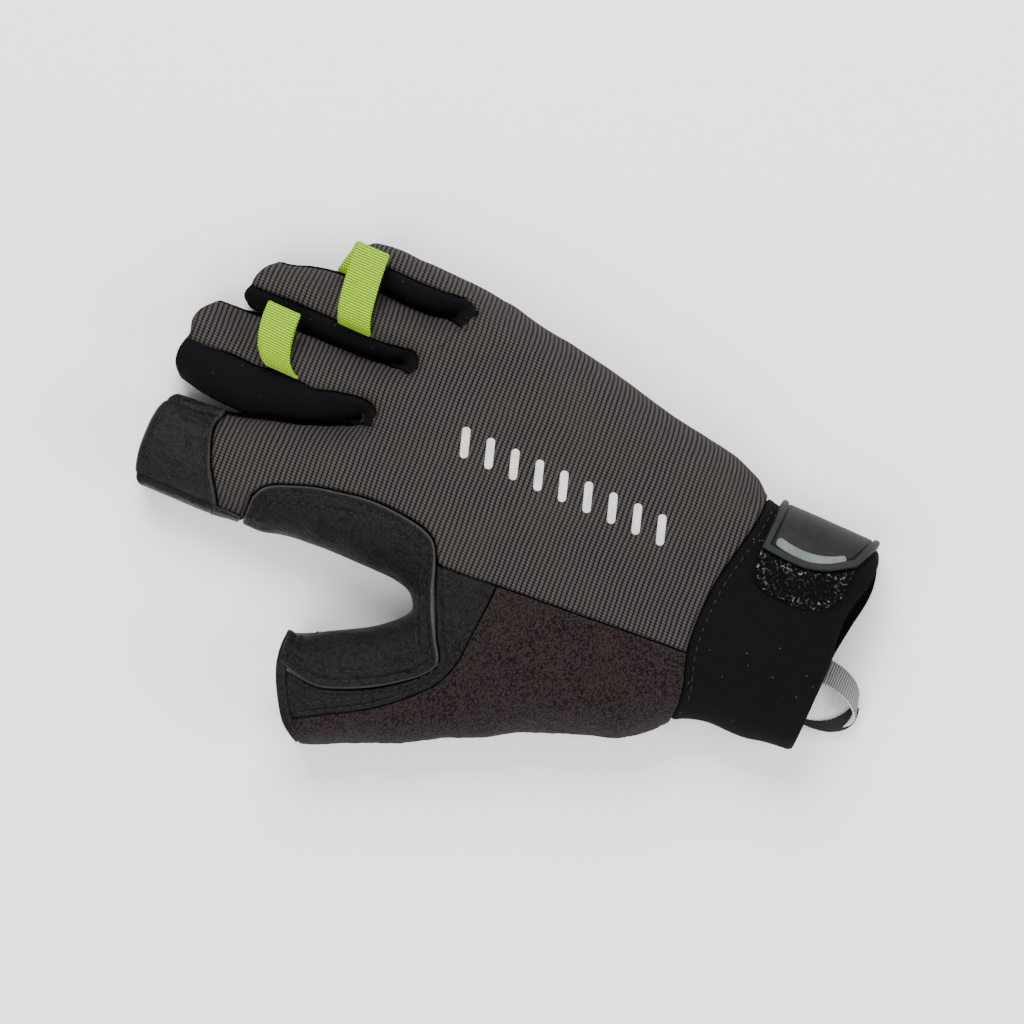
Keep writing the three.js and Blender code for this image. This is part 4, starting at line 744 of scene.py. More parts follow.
def fuzz():
    f = Finish("loop_fuzz", Specular_IOR_Level=0.1)
    at = f.vector(*f.flat())
    hair = f.noise(at, 1.9, 5.0, 0.8)
    height = hair + f.cells(at, 1.3) * 0.5
    shine = height.between(0.82, 1.2)
    colour = f.mix(shine, tint(3, 3, 3), tint(72, 72, 72))
    colour = f.mix(shine * f.mark("edge").between(3.5, 1.0) * 0.7, colour, tint(170, 170, 168))
    return f.done(colour, 0.95, height, 0.0006)


def rubber(name, dark, light, gloss, groove=False):
    f = Finish(name, Specular_IOR_Level=0.12)
    at = f.vector(*f.flat())
    grain = f.noise(at, 6.0, 2.0)
    colour = f.mix(f.noise(at, 0.25, 3.0).between(0.3, 0.7), dark, light)
    if groove:
        edge = f.mark("edge")
        # Painted shade: line marks the groove inside the rim, which is painted nearly black.
        line = edge.between(1.7, 2.1) * edge.between(2.8, 2.4)
        # Painted highlight: the raised rim of the tab is painted a lighter grey.
        rim = f.mix(edge.between(2.1, 1.4) * 0.5, colour, tint(36, 38, 38))
        colour = f.mix(line * 0.8, rim, tint(5, 5, 5))
    return f.done(colour, grain * 0.15 + gloss, grain, 0.00006)


def woven(name, dark, light, rib, lining=None):
    """Narrow woven tape: ribs across it, with weft floats every second rib shifted."""
    f = Finish(name, Specular_IOR_Level=0.15)
    u, v = f.flat()
    ribs = (v * (math.pi / rib)).sin().size()
    warp = ((u + v * 0.5) * (math.pi / WARP_PITCH)).sin().size()
    height = ribs * 0.8 + warp * 0.4 + f.noise(f.vector(u, v), 2.5, 2.0) * 0.4
    colour = f.mix(height.between(0.45, 1.25), dark, light)
    if lining:
        inner = f.mix(height.between(0.2, 1.2), tint(*lining), tint(240, 240, 237))
        colour = f.mix(f.mark("lining"), colour, inner)
    return f.done(colour, 0.9, height, 0.00022)


def thread(name, shade):
    f = Finish(name, Specular_IOR_Level=0.15)
    twist = f.noise(f.solid(), 1500.0, 1.0)
    low, high = tint(*[c * 0.6 for c in shade]), tint(*shade)
    return f.done(f.mix(twist.between(0.35, 0.65), low, high), 0.6, twist, 0.0001)


finishes = {
    "knit": waffle_knit(),
    "terry": terry(),
    "cap": leather("cap_leather", 18, 0.34, 0.35),
    "patch": leather("crotch_leather", 15, 0.38, 0.6),
    "base": leather("base_leather", 15, 0.42),
    "palm": leather("palm_leather", 22, 0.45),
    "gusset": fine_knit("gusset_knit", tint(3, 3, 4), tint(18, 18, 20), 0.6, 0.25),
    "cuff": fine_knit("cuff_cloth", tint(4, 4, 4), tint(17, 17, 17), 0.5, 0.35),
    "fuzz": fuzz(),
    "tab": rubber("tab_rubber", tint(24, 24, 24), tint(30, 30, 29), 0.5, True),
    "stripe": rubber("stripe_rubber", tint(84, 90, 90), tint(98, 104, 104), 0.5),
    "green": woven("green_tape", tint(38, 64, 1), tint(146, 190, 30), 0.74),
    "heather": woven("heather_tape", tint(18, 20, 20), tint(140, 144, 142), 0.74, (205, 206, 203)),
    "border": woven("black_tape", tint(14, 14, 14), tint(46, 46, 46), 0.6),
    "thread": thread("black_thread", (31, 31, 32)),
    "mark": rubber("pale_print", tint(176, 177, 176), tint(196, 197, 195), 0.6),
}
print(len(finishes), "finishes")

# %% [markdown]
# ## Stitches
# A seam shows as a row of thread. Each stitch is a small spindle with a few faces, and all the
# stitches of a piece are one mesh, because hundreds of them repeat.


# %% Rows of stitches
STITCH_LENGTH, STITCH_PITCH, STITCH_RADIUS = 2.1, 2.8, 0.27
# Rings of a stitch: place along its half length, width, and how far it is sunk, in radii.
SPINDLE = ((-1, 0, 0.9), (-0.6, 0.85, 0.3), (0, 1, 0), (0.6, 0.85, 0.3), (1, 0, 0.9))


def laid_on(plan, side, relief, inset):
    """A row on a piece: place and outward direction over plan points, so far from its border."""
    points = cloth(np.asarray(plan, float), side)
    rise = relief(points, np.full(len(points), inset)) + 0.5 * STITCH_RADIUS
    return np.concatenate([points[:, :3] + points[:, 3:6] * rise[:, None], points[:, 3:6]], 1)


def beside(line, distance, first=0, last=None):
    """A line moved sideways, without the loops that this makes where the line bends inwards."""
    moved = shift(line, distance)[first:last]
    away = np.sqrt(np.min(np.sum((moved[:, None] - line[None]) ** 2, axis=2), axis=1))
    return moved[away > 0.96 * abs(distance)]


def stitches(name, rows, finish="thread"):
    """Spindles along rows: three rings of six points between two tips."""
    centre, tangent, up = [], [], []
    for row in rows:
        way = walked(row[:, :3])
        at = np.linspace(0, way[-1], max(int(way[-1] / STITCH_PITCH), 1) + 1)
        at = (at[:-1] + at[1:]) / 2
        here, back, ahead = (np.stack([np.interp(at + d, way, row[:, i]) for i in range(6)], 1)
                             for d in (0, -STITCH_LENGTH / 2, STITCH_LENGTH / 2))
        centre.append(here[:, :3])
        tangent.append(ahead[:, :3] - back[:, :3])
        up.append(here[:, 3:])
    centre, tangent, up = (np.concatenate(v) for v in (centre, tangent, up))
    tangent = unit(tangent)
    up = unit(up - tangent * np.sum(up * tangent, 1)[:, None])
    across = np.cross(tangent, up)
    turn = np.arange(6) * np.pi / 3
    round_them = up[:, None] * np.cos(turn)[:, None] + across[:, None] * np.sin(turn)[:, None]
    places = []
    for t, wide, sunk in SPINDLE:
        middle = centre + tangent * t * STITCH_LENGTH / 2 - up * sunk * STITCH_RADIUS
        ring = middle[:, None] + round_them * wide * STITCH_RADIUS
        places.append(ring if wide else middle[:, None])
    points = np.concatenate(places, 1)
    j = np.arange(6)
    k = (j + 1) % 6
    quads = np.concatenate([np.stack([i + j, i + k, i + 6 + k, i + 6 + j], 1) for i in (1, 7)])
    tips = np.concatenate([np.stack([0 * j, 1 + k, 1 + j], 1),
                           np.stack([0 * j + 19, 13 + j, 13 + k], 1)])
    start = np.arange(len(points))[:, None, None] * 20
    faces = [(quads + start).reshape(-1, 4), (tips + start).reshape(-1, 3)]
    obj = put_mesh(name, points.reshape(-1, 3), faces)
    print(len(points), "stitches")
    return finish_piece(obj, finishes[finish])

# %% [markdown]
# ## Gaps between the fingers
# A black stretch strip runs down the side of one finger, round the fork and up the next one.
# Its two sewn edges are given as distances round the rounded edge of the cloth, so the strip
# shows on the back only where its seam comes over the top, as on the middle finger's near side.


# %% The three gaps
SEAMS_IM = [
    (0, 0.7, 14.7), (0.8, 1.1, 14), (0.92, 3, 11.9), (0.965, 4.2, 11.2), (0.984, 5.2, 10.9),
    (0.993, 7, 10.7), (1, 9.9, 10.5), (1.012, 9.8, 9.9), (1.03, 9.8, 9.2), (1.08, 10.92, 7),
    (1.2, 14, 5.04), (1.35, 17.36, 4.48), (1.55, 20.44, 4.48), (1.75, 21.28, 4.48),
    (2, 18.2, 4.48),
]
SEAMS_MR = [
    (0, 0.7, 12.6), (0.8, 1.1, 11.9), (0.93, 3, 10.6), (0.967, 4, 10.1), (0.984, 4.6, 9.8),
    (0.993, 6.6, 9.6), (1, 9.2, 9.5), (1.006, 8.6, 9.3), (1.014, 7.9, 9.1), (1.033, 7.6, 8.3),
    (1.1, 7.6, 5.88), (1.3, 8.6, 5.04), (1.6, 10.5, 4.76), (2, 10.5, 4.76),
]
SEAMS_RL = [
    (0, 0.7, 10.36), (0.75, 1, 10.08), (0.9, 1.6, 9.24), (0.96, 2.6, 8.9), (0.984, 4.4, 8.6),
    (0.993, 7, 8.5), (1, 10.4, 8.4), (1.008, 10, 8), (1.018, 9.6, 7.7), (1.033, 8.8, 7),
    (1.1, 7.98, 4.2), (1.3, 8.68, 3.36), (1.6, 8.96, 3.08), (2, 8.12, 3.08),
]


FORK_REACH, FORK_TRIES, FORK_LOOK = 2.5, 101, 6.0


class Gap:
    """A gap between two fingers: the way down its first side to the fork and up its second.
    The fork is the place near the lowest point that looks along the strip's own heading."""

    def __init__(self, line, seams, first_end, second_end, heading, steps=56):
        self.line, self.rows = line, curve(seams, 16)
        near = line.s[np.argmin(line.xy[:, 1])] + np.linspace(-FORK_REACH, FORK_REACH, FORK_TRIES)
        way = line.inside(near, np.full(FORK_TRIES, FORK_LOOK)) - line.at(near)[0]
        self.fork = near[np.argmax(way @ np.array(heading) / np.hypot(*way.T))]
        self.start, self.stop = line.crossing(first_end), line.crossing(second_end, True)
        self.first = line.spread(self.fork, self.start, steps)
        self.second = line.spread(self.fork, self.stop, steps)

    def arc(self, s, side):
        """Distance round the edge to the seam: column 1 on the back and 2 on the palm side."""
        leg = np.where(s < self.fork, (s - self.start) / (self.fork - self.start),
                       1 + (s - self.fork) / (self.stop - self.fork))
        return np.interp(leg, self.rows[:, 0], self.rows[:, side])

    def half_width(self, y):
        """Half the gap between the two fingers at a height."""
        low = np.argmin(self.line.xy[:, 1])
        sides = self.line.xy[:low + 1][::-1], self.line.xy[low:]
        first, second = (np.interp(y, xy[:, 1], xy[:, 0]) for xy in sides)
        return (second - first) / 2

    def seam(self, s, side):
        """Plan points of the seam of the piece beside the strip, before the mouths' curves."""
        return self.line.inside(s, self.arc(s, side) + HALF_GAP)

    def turn(self, side):
        """The seam's point at the fork."""
        return self.seam(np.array([self.fork]), side)[0]


gap_im = Gap(slit_im, SEAMS_IM, INDEX_END, MIDDLE_END, (2.5, -3.6))
gap_mr = Gap(slit_mr, SEAMS_MR, MIDDLE_END, RING_END, (0.9, -4.3))
gap_rl = Gap(slit_rl, SEAMS_RL, RING_END, LITTLE_END, (2.2, -6.3))
gaps = (gap_im, gap_mr, gap_rl)


def gusset(name, gap, node, shut):
    """The strip lies a little lower than the knit. Below the height shut its two sides swell
    until they meet, as the fingers of the real glove lie against each other."""
    s = np.concatenate([gap.first[:0:-1], gap.second])
    back, under = gap.arc(s, 1) - HALF_GAP, gap.arc(s, 2) - HALF_GAP
    t = np.linspace(0, 1, 13)
    arcs = np.concatenate([back[:, None] * (1 - t), -under[:, None] * t[1:]], 1)

    def relief(points, edge):
        at = points[:, 6:8]
        waves = rough(at, 5.0, 3) * 0.4 + rough(at * (1, 0.4), 2.2, 4) * 0.15
        side = np.hypot(points[:, 3], points[:, 4]) ** 3
        shutting = ease((shut - points[:, 1]) / 5)
        swell = np.minimum(gap.half_width(points[:, 1]) + 0.1, 1.5) * shutting
        on_top = waves * np.clip(edge / 3, 0, 1) - 0.3
        return rolled(edge, 0.4, 0.8) + swell * side + on_top * (1 - side)

    grid = round_edge(gap.line, s, arcs)
    return dressed(name, [grid], WALLS["strip"], relief, "gusset", "gusset", node)


gusset("stretch_strip_index", gap_im, "gusset_index_middle", 86)
gusset("stretch_strip_middle", gap_mr, "gusset_middle_ring", 94)
gusset("stretch_strip_ring", gap_rl, "gusset_ring_little", 76)

# %% [markdown]
# ## Crotch of the thumb
# The most worn place has two layers of leather. The upper one is a patch that wraps the crotch
# from the index finger to the thumb's mouth and turns round to the palm. It is a grid from its
# sewn edge on the back, over the side, to its edge on the palm side.

# %% Crotch patch
PATCH = np.array([
    (0, -30, 70, 5.88), (0.03, -26.5, 68.3, 7.28), (0.06, -24.3, 65.3, 8.4),
    (0.1, -22.6, 61.2, 9.8), (0.165, -20.2, 54.5, 11.2), (0.24, -18.5, 46.5, 12.18),
    (0.315, -17.3, 40, 12.88), (0.39, -17.1, 33, 13.3), (0.455, -17.6, 27, 13.44),
    (0.51, -18.6, 21.5, 13.44), (0.545, -20.8, 17.4, 13.44), (0.58, -26.5, 14.2, 13.44),
    (0.605, -33, 11.8, 13.44), (0.63, -39, 9, 13.44), (0.655, -45.5, 5.7, 13.44),
    (0.685, -51.8, 2.3, 13.44), (0.725, -56.5, 4.7, 13.44), (0.77, -61.5, 10.5, 13.44),
    (0.815, -66, 17, 13.44), (0.865, -70, 25, 13.3), (0.91, -72, 31, 13.02),
    (0.955, -71.8, 37, 12.6), (1, -70.2, 44.2, 12.32),
])
CORNER_ROW, FORK_ROW, FINE = 11, 5, 8
PATCH_RISE = 0.6
patch_line = curve(PATCH, FINE)
patch_edge, patch_under = patch_line[:, 1:3], patch_line[:, 3]
NOTCH_ALONG, THUMB_MOUTH_ALONG = 0.3346, 0.2163
notch = radial.crossing(NOTCH_ALONG * GLOVE_LENGTH)
mouth = radial.crossing(THUMB_MOUTH_ALONG * GLOVE_LENGTH, True)
crotch_s = notch + (mouth - notch) * patch_line[:, 0]


def patch_grid(cells_back=54, cells_under=18):
    """Rows across the patch: shares of the straight way, in plan, from the crotch's outline to
    the sewn edge, chosen so that the steps round the edge are even."""
    edge = shift(patch_edge, -HALF_GAP)
    xy, r, n = radial.at(crotch_s)
    way = edge - xy
    far = np.linalg.norm(way, axis=1)
    quarter = r * np.pi / 2
    whole = np.where(far < r, r * np.arccos(np.clip(1 - far / r, -1, 1)), quarter + far - r)
    a = whole[:, None] * (1 - np.linspace(0, 1, cells_back + 1))[:-1]
    share = inset_of(a, r[:, None]) / far[:, None]
    top = cloth(xy[:, None] + way[:, None] * share[..., None], 1)
    arcs = -(patch_under - HALF_GAP)[:, None] * np.linspace(0, 1, cells_under + 1)
    s = np.broadcast_to(crotch_s[:, None], arcs.shape)
    return np.concatenate([top, cloth(radial.inside(s, arcs), -1)], 1)


PATCH_ROWS = (2.4, 5.0)  # how far inside the sewn edge its two stitched rows run


def patch_relief(points, edge):
    top = ease(span(points[:, 5], -0.2, 0.5))
    at = points[:, 6:8]
    rows = groove(edge, PATCH_ROWS[0], 0.4, 0.4) + groove(edge, PATCH_ROWS[1], 0.35, 0.4)
    puff = 0.3 * hill(edge, 3.7, 0.9) + 0.25 * hill(edge, 0.9, 0.5)
    pucker = rough(at, 1.3, 8) * 0.3 * hill(edge, 3.8, 2.4)
    slack = rough(at, 7.0, 9) * 0.3 + rough(at * (1, 0.5), 2.6, 10) * 0.12
    sewn_down = (rows + puff + pucker) * ease(span(points[:, 5], 0.15, 0.6))
    return (PATCH_RISE + 0.4) * top + rolled(edge, 0.5, 0.5) + sewn_down + slack * (0.2 + 0.8 * top)


dressed("crotch_patch_leather", [patch_grid()], WALLS["leather"], patch_relief,
        "patch", "leather", "crotch_patch")

MOUTH_TURN = curve([(-69.6, 28.5), (-68.9, 33), (-66, 36), (-61.5, 37), (-57.6, 37.2)], FINE)
patch_rows = [laid_on(beside(patch_edge, -inset, 6, -16), 1, patch_relief, inset)
              for inset in PATCH_ROWS]
patch_rows += [laid_on(shift(MOUTH_TURN, d), 1, patch_relief, PATCH_ROWS[0]) for d in (0, -2.6)]
stitches("patch_stitches", patch_rows)

# %% [markdown]
# The lower layer is a crescent between the patch, the knit and the terry. It is a ruled strip
# between the patch's edge and its own stitched edge.

# %% Crotch base
BASE_EDGE = np.array([
    (-25, -4), (-33, -3.8), (-42, -3.2), (-50, -2.5), (-57, 0), (-62.5, 4.5), (-67, 9),
    (-71, 14), (-75, 20), (-79, 27), (-82, 32), (-84.6, 36.2),
], float)
base_low = curve(BASE_EDGE, FINE)
base_high = patch_edge[CORNER_ROW * FINE:]


def base_grid():
    low, high = shift(base_low, -HALF_GAP), shift(base_high, HALF_GAP)
    low[0, 0] -= HALF_GAP
    high[0, 0] -= HALF_GAP
    t = np.linspace(0, 1, 46)[None, :, None]
    return cloth(low[:, None] + (high - low)[:, None] * t, 1)


BASE_ROWS = (1.5, 3.9)


def base_relief(points, edge):
    at = points[:, 6:8]
    rows = groove(edge, BASE_ROWS[0], 0.3, 0.35) + groove(edge, BASE_ROWS[1], 0.25, 0.35)
    pucker = rough(at, 1.2, 18) * 0.25 * hill(edge, 2.8, 2.0)
    return 0.2 + rolled(edge, 0.5, 0.6) + rows + pucker + rough(at, 6.0, 19) * 0.2


dressed("crotch_base_leather", [base_grid()], WALLS["leather"], base_relief,
        "base", "leather", "crotch_base")
base_rows = [laid_on(beside(base_low, -inset, 4, -6), 1, base_relief, inset)
             for inset in BASE_ROWS]
stitches("base_stitches", base_rows)

# %% [markdown]
# The mouth of the thumb is hemmed with a narrow folded band. It is a ruled strip along the
# mouth's line, which lies over the ends of the leather and the terry.

# %% Hem of the thumb
HEM_WIDTH, HEM_RISE, HEM_KNOB = 3.0, 1.0, np.array((0.5, -1.5))
THUMB_MOUTH = curve([
    (-61.6, 45.1), (-65.4, 45.3), (-70.2, 44.5), (-74.5, 42.8), (-79.5, 40), (-84.6, 36.4),
    (-87.2, 33.1), (-88.6, 30.4),
], FINE)


def hem_relief(points, edge):
    at = points[:, 6:8]
    away = (points[:, :2] - THUMB_MOUTH[0] - HEM_KNOB) / 1.7
    knob = 1.1 * np.exp(-np.sum(away**2, axis=1))
    crease = groove(edge, 1.2, 0.2, 0.3) + rough(at, 2.0, 15) * 0.12
    return HEM_RISE + knob + rolled(edge, 0.5, 0.6) + crease


across = np.linspace(0, 1, 13)[None, :, None]
hem_low = shift(THUMB_MOUTH, HEM_WIDTH)
hem_grid = cloth(THUMB_MOUTH[:, None] * (1 - across) + hem_low[:, None] * across, 1)
dressed("thumb_hem_band", [hem_grid], WALLS["hem"], hem_relief, "base", "leather")
hem_row = shift(THUMB_MOUTH, HEM_WIDTH - 0.9)[2:-2]
stitches("hem_stitches", [laid_on(hem_row, 1, hem_relief, 1.2)])

# %% [markdown]
# ## Back of the thumb
# The terry over the thumb and its mound is there to wipe a face. Its grid is a Coons patch
# between the knit's edge, the thumb's outline, the cuff seam and the leather, plus the part
# that rolls round the side to the palm seam.

# %% Shared seams
CUFF_SEAM_BACK = np.array([
    (-34.5, -64.8), (-30, -64), (-25, -62.4), (-20.5, -61.1), (-15, -60.3), (-10, -60),
    (0, -60.3), (5, -61), (10, -62), (17, -63.4), (22, -64.2), (25.6, -64.5),
], float)
KNIT_EDGE = np.array([(-20.5, -61.1), (-21.3, -50), (-22.3, -38), (-23.3, -26), (-24.1, -15),
                      (-25, -4), (-26, 4.5), (-26.5, 14.2)], float)
THUMB_FOOT_Y, THUMB_END_Y, ULNAR_SEAM_Y = -65.0, 30.0, -64.65
thumb_foot = thumb_outer.crossing(THUMB_FOOT_Y)
thumb_mouth = thumb_outer.crossing(THUMB_END_Y)
ulnar_seam = ulnar.crossing(ULNAR_SEAM_Y)


def cuff_seam(knots, split_x):
    """The cuff's seam from side to side, and its share up to where another seam meets it."""
    first, last = thumb_outer.at(thumb_foot)[0], ulnar.at(ulnar_seam)[0]
    line = curve(np.vstack([first, knots, last]), FINE)
    way = walked(line)
    return line, way[np.argmax(line[:, 0] >= split_x)] / way[-1]


seam_back, split_share = cuff_seam(CUFF_SEAM_BACK, KNIT_EDGE[0, 0])

# %% Terry thumb
def thumb_grids(rows=130, cells=80):
    side = curve(KNIT_EDGE[:6], FINE)
    right = even(shift(side, HALF_GAP), rows)
    s = thumb_outer.spread(thumb_foot - HALF_GAP, thumb_mouth, rows)
    left = thumb_outer.at(s)[0]
    lip = np.vstack([shift(base_low, HALF_GAP), left[-1]])
    top = even(ends(lip, right[-1], left[-1]), cells)
    shares = split_share * (1 - np.minimum(np.linspace(0, 1, cells + 1) * 1.02, 1))
    bottom = ends(course(shift(seam_back, HALF_GAP), shares), right[0], left[0])
    arcs = np.linspace(0, -(SIDE_SEAM - HALF_GAP), 8)[None, :]
    return [cloth(filled(bottom, top, right, left), 1), round_edge(thumb_outer, s, arcs, 0)]


def terry_relief(points, edge):
    at = points[:, 6:8]
    loops = np.abs(rough(at, 0.9, 21)) * 0.2 + rough(at, 3.0, 22) * 0.15 + rough(at, 14.0, 23) * 0.5
    return 0.25 + rolled(edge, 0.6, 1.0) + loops * np.clip(edge / 2, 0, 1)


dressed("terry_thumb_back", thumb_grids(), WALLS["terry"], terry_relief,
        "terry", "terry", "thumb_back")

# %% [markdown]
# ## Knit back
# One panel of waffle knit covers the back of the hand and runs up each finger. The hand part is
# a Coons patch up to the row of the forks, each finger strip is another, and they are welded.

# %% Knit back
CAP_EDGE = [
    (-38.6, 77.3), (-36, 78.5), (-30, 82.3), (-27, 84.2), (-20, 87), (-15, 87.8), (-11.6, 86.8),
]
cap_line = curve(CAP_EDGE, FINE)
cap_split = walked(cap_line)[3 * FINE] / walked(cap_line)[-1]
patch_side = shift(patch_edge, HALF_GAP)
CELLS = [26, 20, 20, 12]
ulnar_fork = ulnar.crossing(FORK_Y)
side_arcs = np.linspace(0, -(SIDE_SEAM - HALF_GAP), 8)[None, :]


def knuckle_lines():
    forks = [gap.turn(1) for gap in gaps]
    stops = [patch_side[FORK_ROW * FINE], *forks, ulnar.at(ulnar_fork)[0]]
    kinds = ["even", "even", "even", "end"]
    return [straight(a, b, towards(n, k)) for a, b, n, k in zip(stops, stops[1:], CELLS, kinds)]


def hand_grids(rows=92):
    lines = knuckle_lines()
    top = np.vstack([lines[0], *(line[1:] for line in lines[1:])])
    lower = shift(curve(KNIT_EDGE, FINE), -HALF_GAP)[:-1]
    left = even(np.vstack([lower, patch_side[FORK_ROW * FINE:CORNER_ROW * FINE][::-1]]), rows)
    s = ulnar.spread(ulnar_seam + HALF_GAP, ulnar_fork, rows)
    right = ulnar.at(s)[0]
    way = walked(top) / walked(top)[-1]
    bottom = course(shift(seam_back, HALF_GAP), split_share + (1 - split_share) * way)
    left[0] = bottom[0] = (left[0, 0], bottom[0, 1])
    bottom[-1] = right[0]
    return [cloth(filled(bottom, top, left, right), 1), round_edge(ulnar, s, side_arcs, 0)]


def strip(bottom, left, right, kind="even"):
    """One finger's strip on the back, ended by a straight line between its sides."""
    top = straight(left[-1], right[-1], towards(len(bottom) - 1, kind))
    return filled(bottom, top, left, right)


def back_grids():
    lines = knuckle_lines()
    cap_low = shift(cap_line, -HALF_GAP)
    meet = slit_im.crossing(cap_low[-1, 1])
    s_right = slit_im.spread(gap_im.fork, meet, 40)
    right = gap_im.seam(s_right, 1)
    patch_top = patch_edge[0] + (0, 2 * HALF_GAP)
    split = course(cap_low, [cap_split])[0]
    strand = straight(patch_top, split, np.linspace(0, 1, 15))
    near = even(np.vstack([patch_side[4:FORK_ROW * FINE + 1][::-1], patch_top]), 26)
    left = np.vstack([near, strand[1:]])
    shares = cap_split + (1 - cap_split) * np.linspace(0, 1, CELLS[0] + 1)
    index_top = ends(course(cap_low, shares), split, right[-1])
    s_edge = radial.spread(notch - 2 * HALF_GAP, radial.crossing(cap_low[0, 1]), 14)
    edge = radial.at(s_edge)[0]
    low = straight(edge[0], patch_top, towards(12, "start"))
    high = ends(course(cap_low, cap_split * towards(12, "start")), edge[-1], split)
    s_little = ulnar.spread(ulnar_fork, ulnar.crossing(LITTLE_END), len(gap_rl.second) - 1)
    sides = [(gap.seam(gap.first, 1), gap.seam(gap.second, 1)) for gap in gaps]
    fingers = [strip(lines[1], sides[0][1], sides[1][0]),
               strip(lines[2], sides[1][1], sides[2][0]),
               strip(lines[3], sides[2][1], ulnar.at(s_little)[0], "end")]
    return [*hand_grids(),
            cloth(filled(lines[0], index_top, left, right), 1),
            cloth(filled(low, high, edge, strand), 1),
            round_edge(radial, s_edge, side_arcs, 0),
            *(cloth(to_mouth(finger), 1) for finger in fingers),
            round_edge(ulnar, s_little, side_arcs)]


def knit_relief(points, edge):
    at = points[:, 6:8]
    slack = rough(at, 13.0, 31) * 0.4 + rough(at * (0.5, 1), 4.5, 32) * 0.15
    pucker = rough(at, 2.4, 33) * 0.2 * np.exp(-edge / 2.5)
    return rolled(edge, 0.6, 0.8) + (slack + pucker) * np.clip(edge / 1.5, 0, 1)


dressed("knit_back", back_grids(), WALLS["knit"], knit_relief, "knit", "knit", "back_panel")

# %% [markdown]
# A row of short pale bars is printed on the back, as reflective trim. Each is a flat bar with
# round ends, laid on the knit.

# %% Pale bars
BAR_LENGTH, BAR_WIDTH, BAR_STEP, BAR_COUNT = 9.0, 2.4, 7.6, 9
FIRST_BAR, BAR_SLANT = (8.5, -40), math.radians(18)


def bar(middle):
    """Plan grid of a bar: middle + u times half length + v times half width, where past the
    straight part the width shrinks as sqrt(1 - w^2)."""
    a, b = BAR_LENGTH / 2, BAR_WIDTH / 2
    u, v = np.meshgrid(np.linspace(-1, 1, 41), np.linspace(-1, 1, 9), indexing="ij")
    w = np.clip((np.abs(u) * a - (a - b)) / b, 0, 1)
    x, y = a * u, b * v * np.sqrt(1 - w**2)
    c, d = math.cos(BAR_SLANT), math.sin(BAR_SLANT)
    return np.stack([middle[0] + c * x - d * y, middle[1] + d * x + c * y], -1)


def print_relief(points, edge):
    return knit_relief(points, np.full(len(points), 9.0)) + 0.22 + rolled(edge, 0.1, 0.3)


bars = [cloth(bar((FIRST_BAR[0], FIRST_BAR[1] + BAR_STEP * i)), 1) for i in range(BAR_COUNT)]
dressed("pale_bars", bars, 0.1, print_relief, "mark", "stripe")

# %% [markdown]
# ## Cap on the index finger
# A leather cap covers the end of the index finger. It laps over the knit and carries a folded
# lip on either side.

# %% Index cap
def cap_grids():
    above = shift(cap_line, HALF_GAP)
    meet = slit_im.crossing(above[-1, 1])
    s_right = slit_im.spread(meet, gap_im.start, 44)
    s_left = radial.spread(radial.crossing(above[0, 1]), radial.crossing(INDEX_END), 44)
    right, left = gap_im.seam(s_right, 1), radial.at(s_left)[0]
    bottom = ends(course(above, towards(72, "both")), left[0], right[0])
    top = straight(left[-1], right[-1], towards(72, "both"))
    over = cloth(to_mouth(filled(bottom, top, left, right)), 1)
    return [over, round_edge(radial, s_left, side_arcs)]


LIP_WIDTH, LIP_RISE, CAP_ROW, CREST_X = 2.3, 0.45, 2.4, -29.5


def cap_relief(points, edge):
    """A folded lip along both sides, a sunk seam beside it, a rolled edge over the knit and
    fine creases over the crest of the finger."""
    at = points[:, 6:8]
    inset = nearest(points[:, :2])[3]
    lip = LIP_RISE * (1 - ease(span(inset, LIP_WIDTH - 0.7, LIP_WIDTH)))
    crest = hill(points[:, 0], CREST_X, 3.2)
    crease = rough(at * (0.7, 1), 0.9, 43) * 0.25 * crest + 0.3 * crest
    hem = groove(edge, CAP_ROW, 0.25, 0.35) + 0.35 * hill(edge, 0.8, 0.6)
    top = ease(span(points[:, 5], 0, 0.5))
    slack = rough(at, 5.0, 41) * 0.3 + rough(at, 1.7, 42) * 0.1
    sides = rolled(edge, 0.4, 0.5) + lip + groove(inset, LIP_WIDTH, 0.9, 0.35)
    return 0.1 + 0.4 * top + sides + (hem + crease + slack) * (0.1 + 0.9 * top)


dressed("index_cap_leather", cap_grids(), WALLS["leather"], cap_relief,
        "cap", "leather", "index_cap")
stitches("cap_stitches", [laid_on(shift(cap_line, CAP_ROW)[6:-4], 1, cap_relief, CAP_ROW)])

# %% [markdown]
# The lip of the palm leather goes on along the side, from the cap to the crotch patch, and gets
# narrower. It is a strip round the edge, between two arcs.

# %% Side lip
def side_lip_grid():
    s = np.linspace(radial.crossing(79.5), notch - 1.2, 30)
    r = radial.at(s)[1]
    upper = r * np.arccos(1 - np.linspace(LIP_WIDTH, 1.2, len(s)) / r)
    arcs = -SIDE_SEAM + (upper[:, None] + SIDE_SEAM) * np.linspace(0, 1, 14)
    return round_edge(radial, s, arcs, 0)


def lip_relief(points, edge):
    return 0.85 + rolled(edge, 0.6, 0.7) + rough(points[:, 6:8], 1.5, 44) * 0.1


dressed("index_side_lip", [side_lip_grid()], LAID_ON, lip_relief, "cap", "leather")

# %% [markdown]
# ## Palm side
# The palm is one piece of leather with a strip for each finger, and the palm side of the thumb
# is another. They are the same construction seen from below.

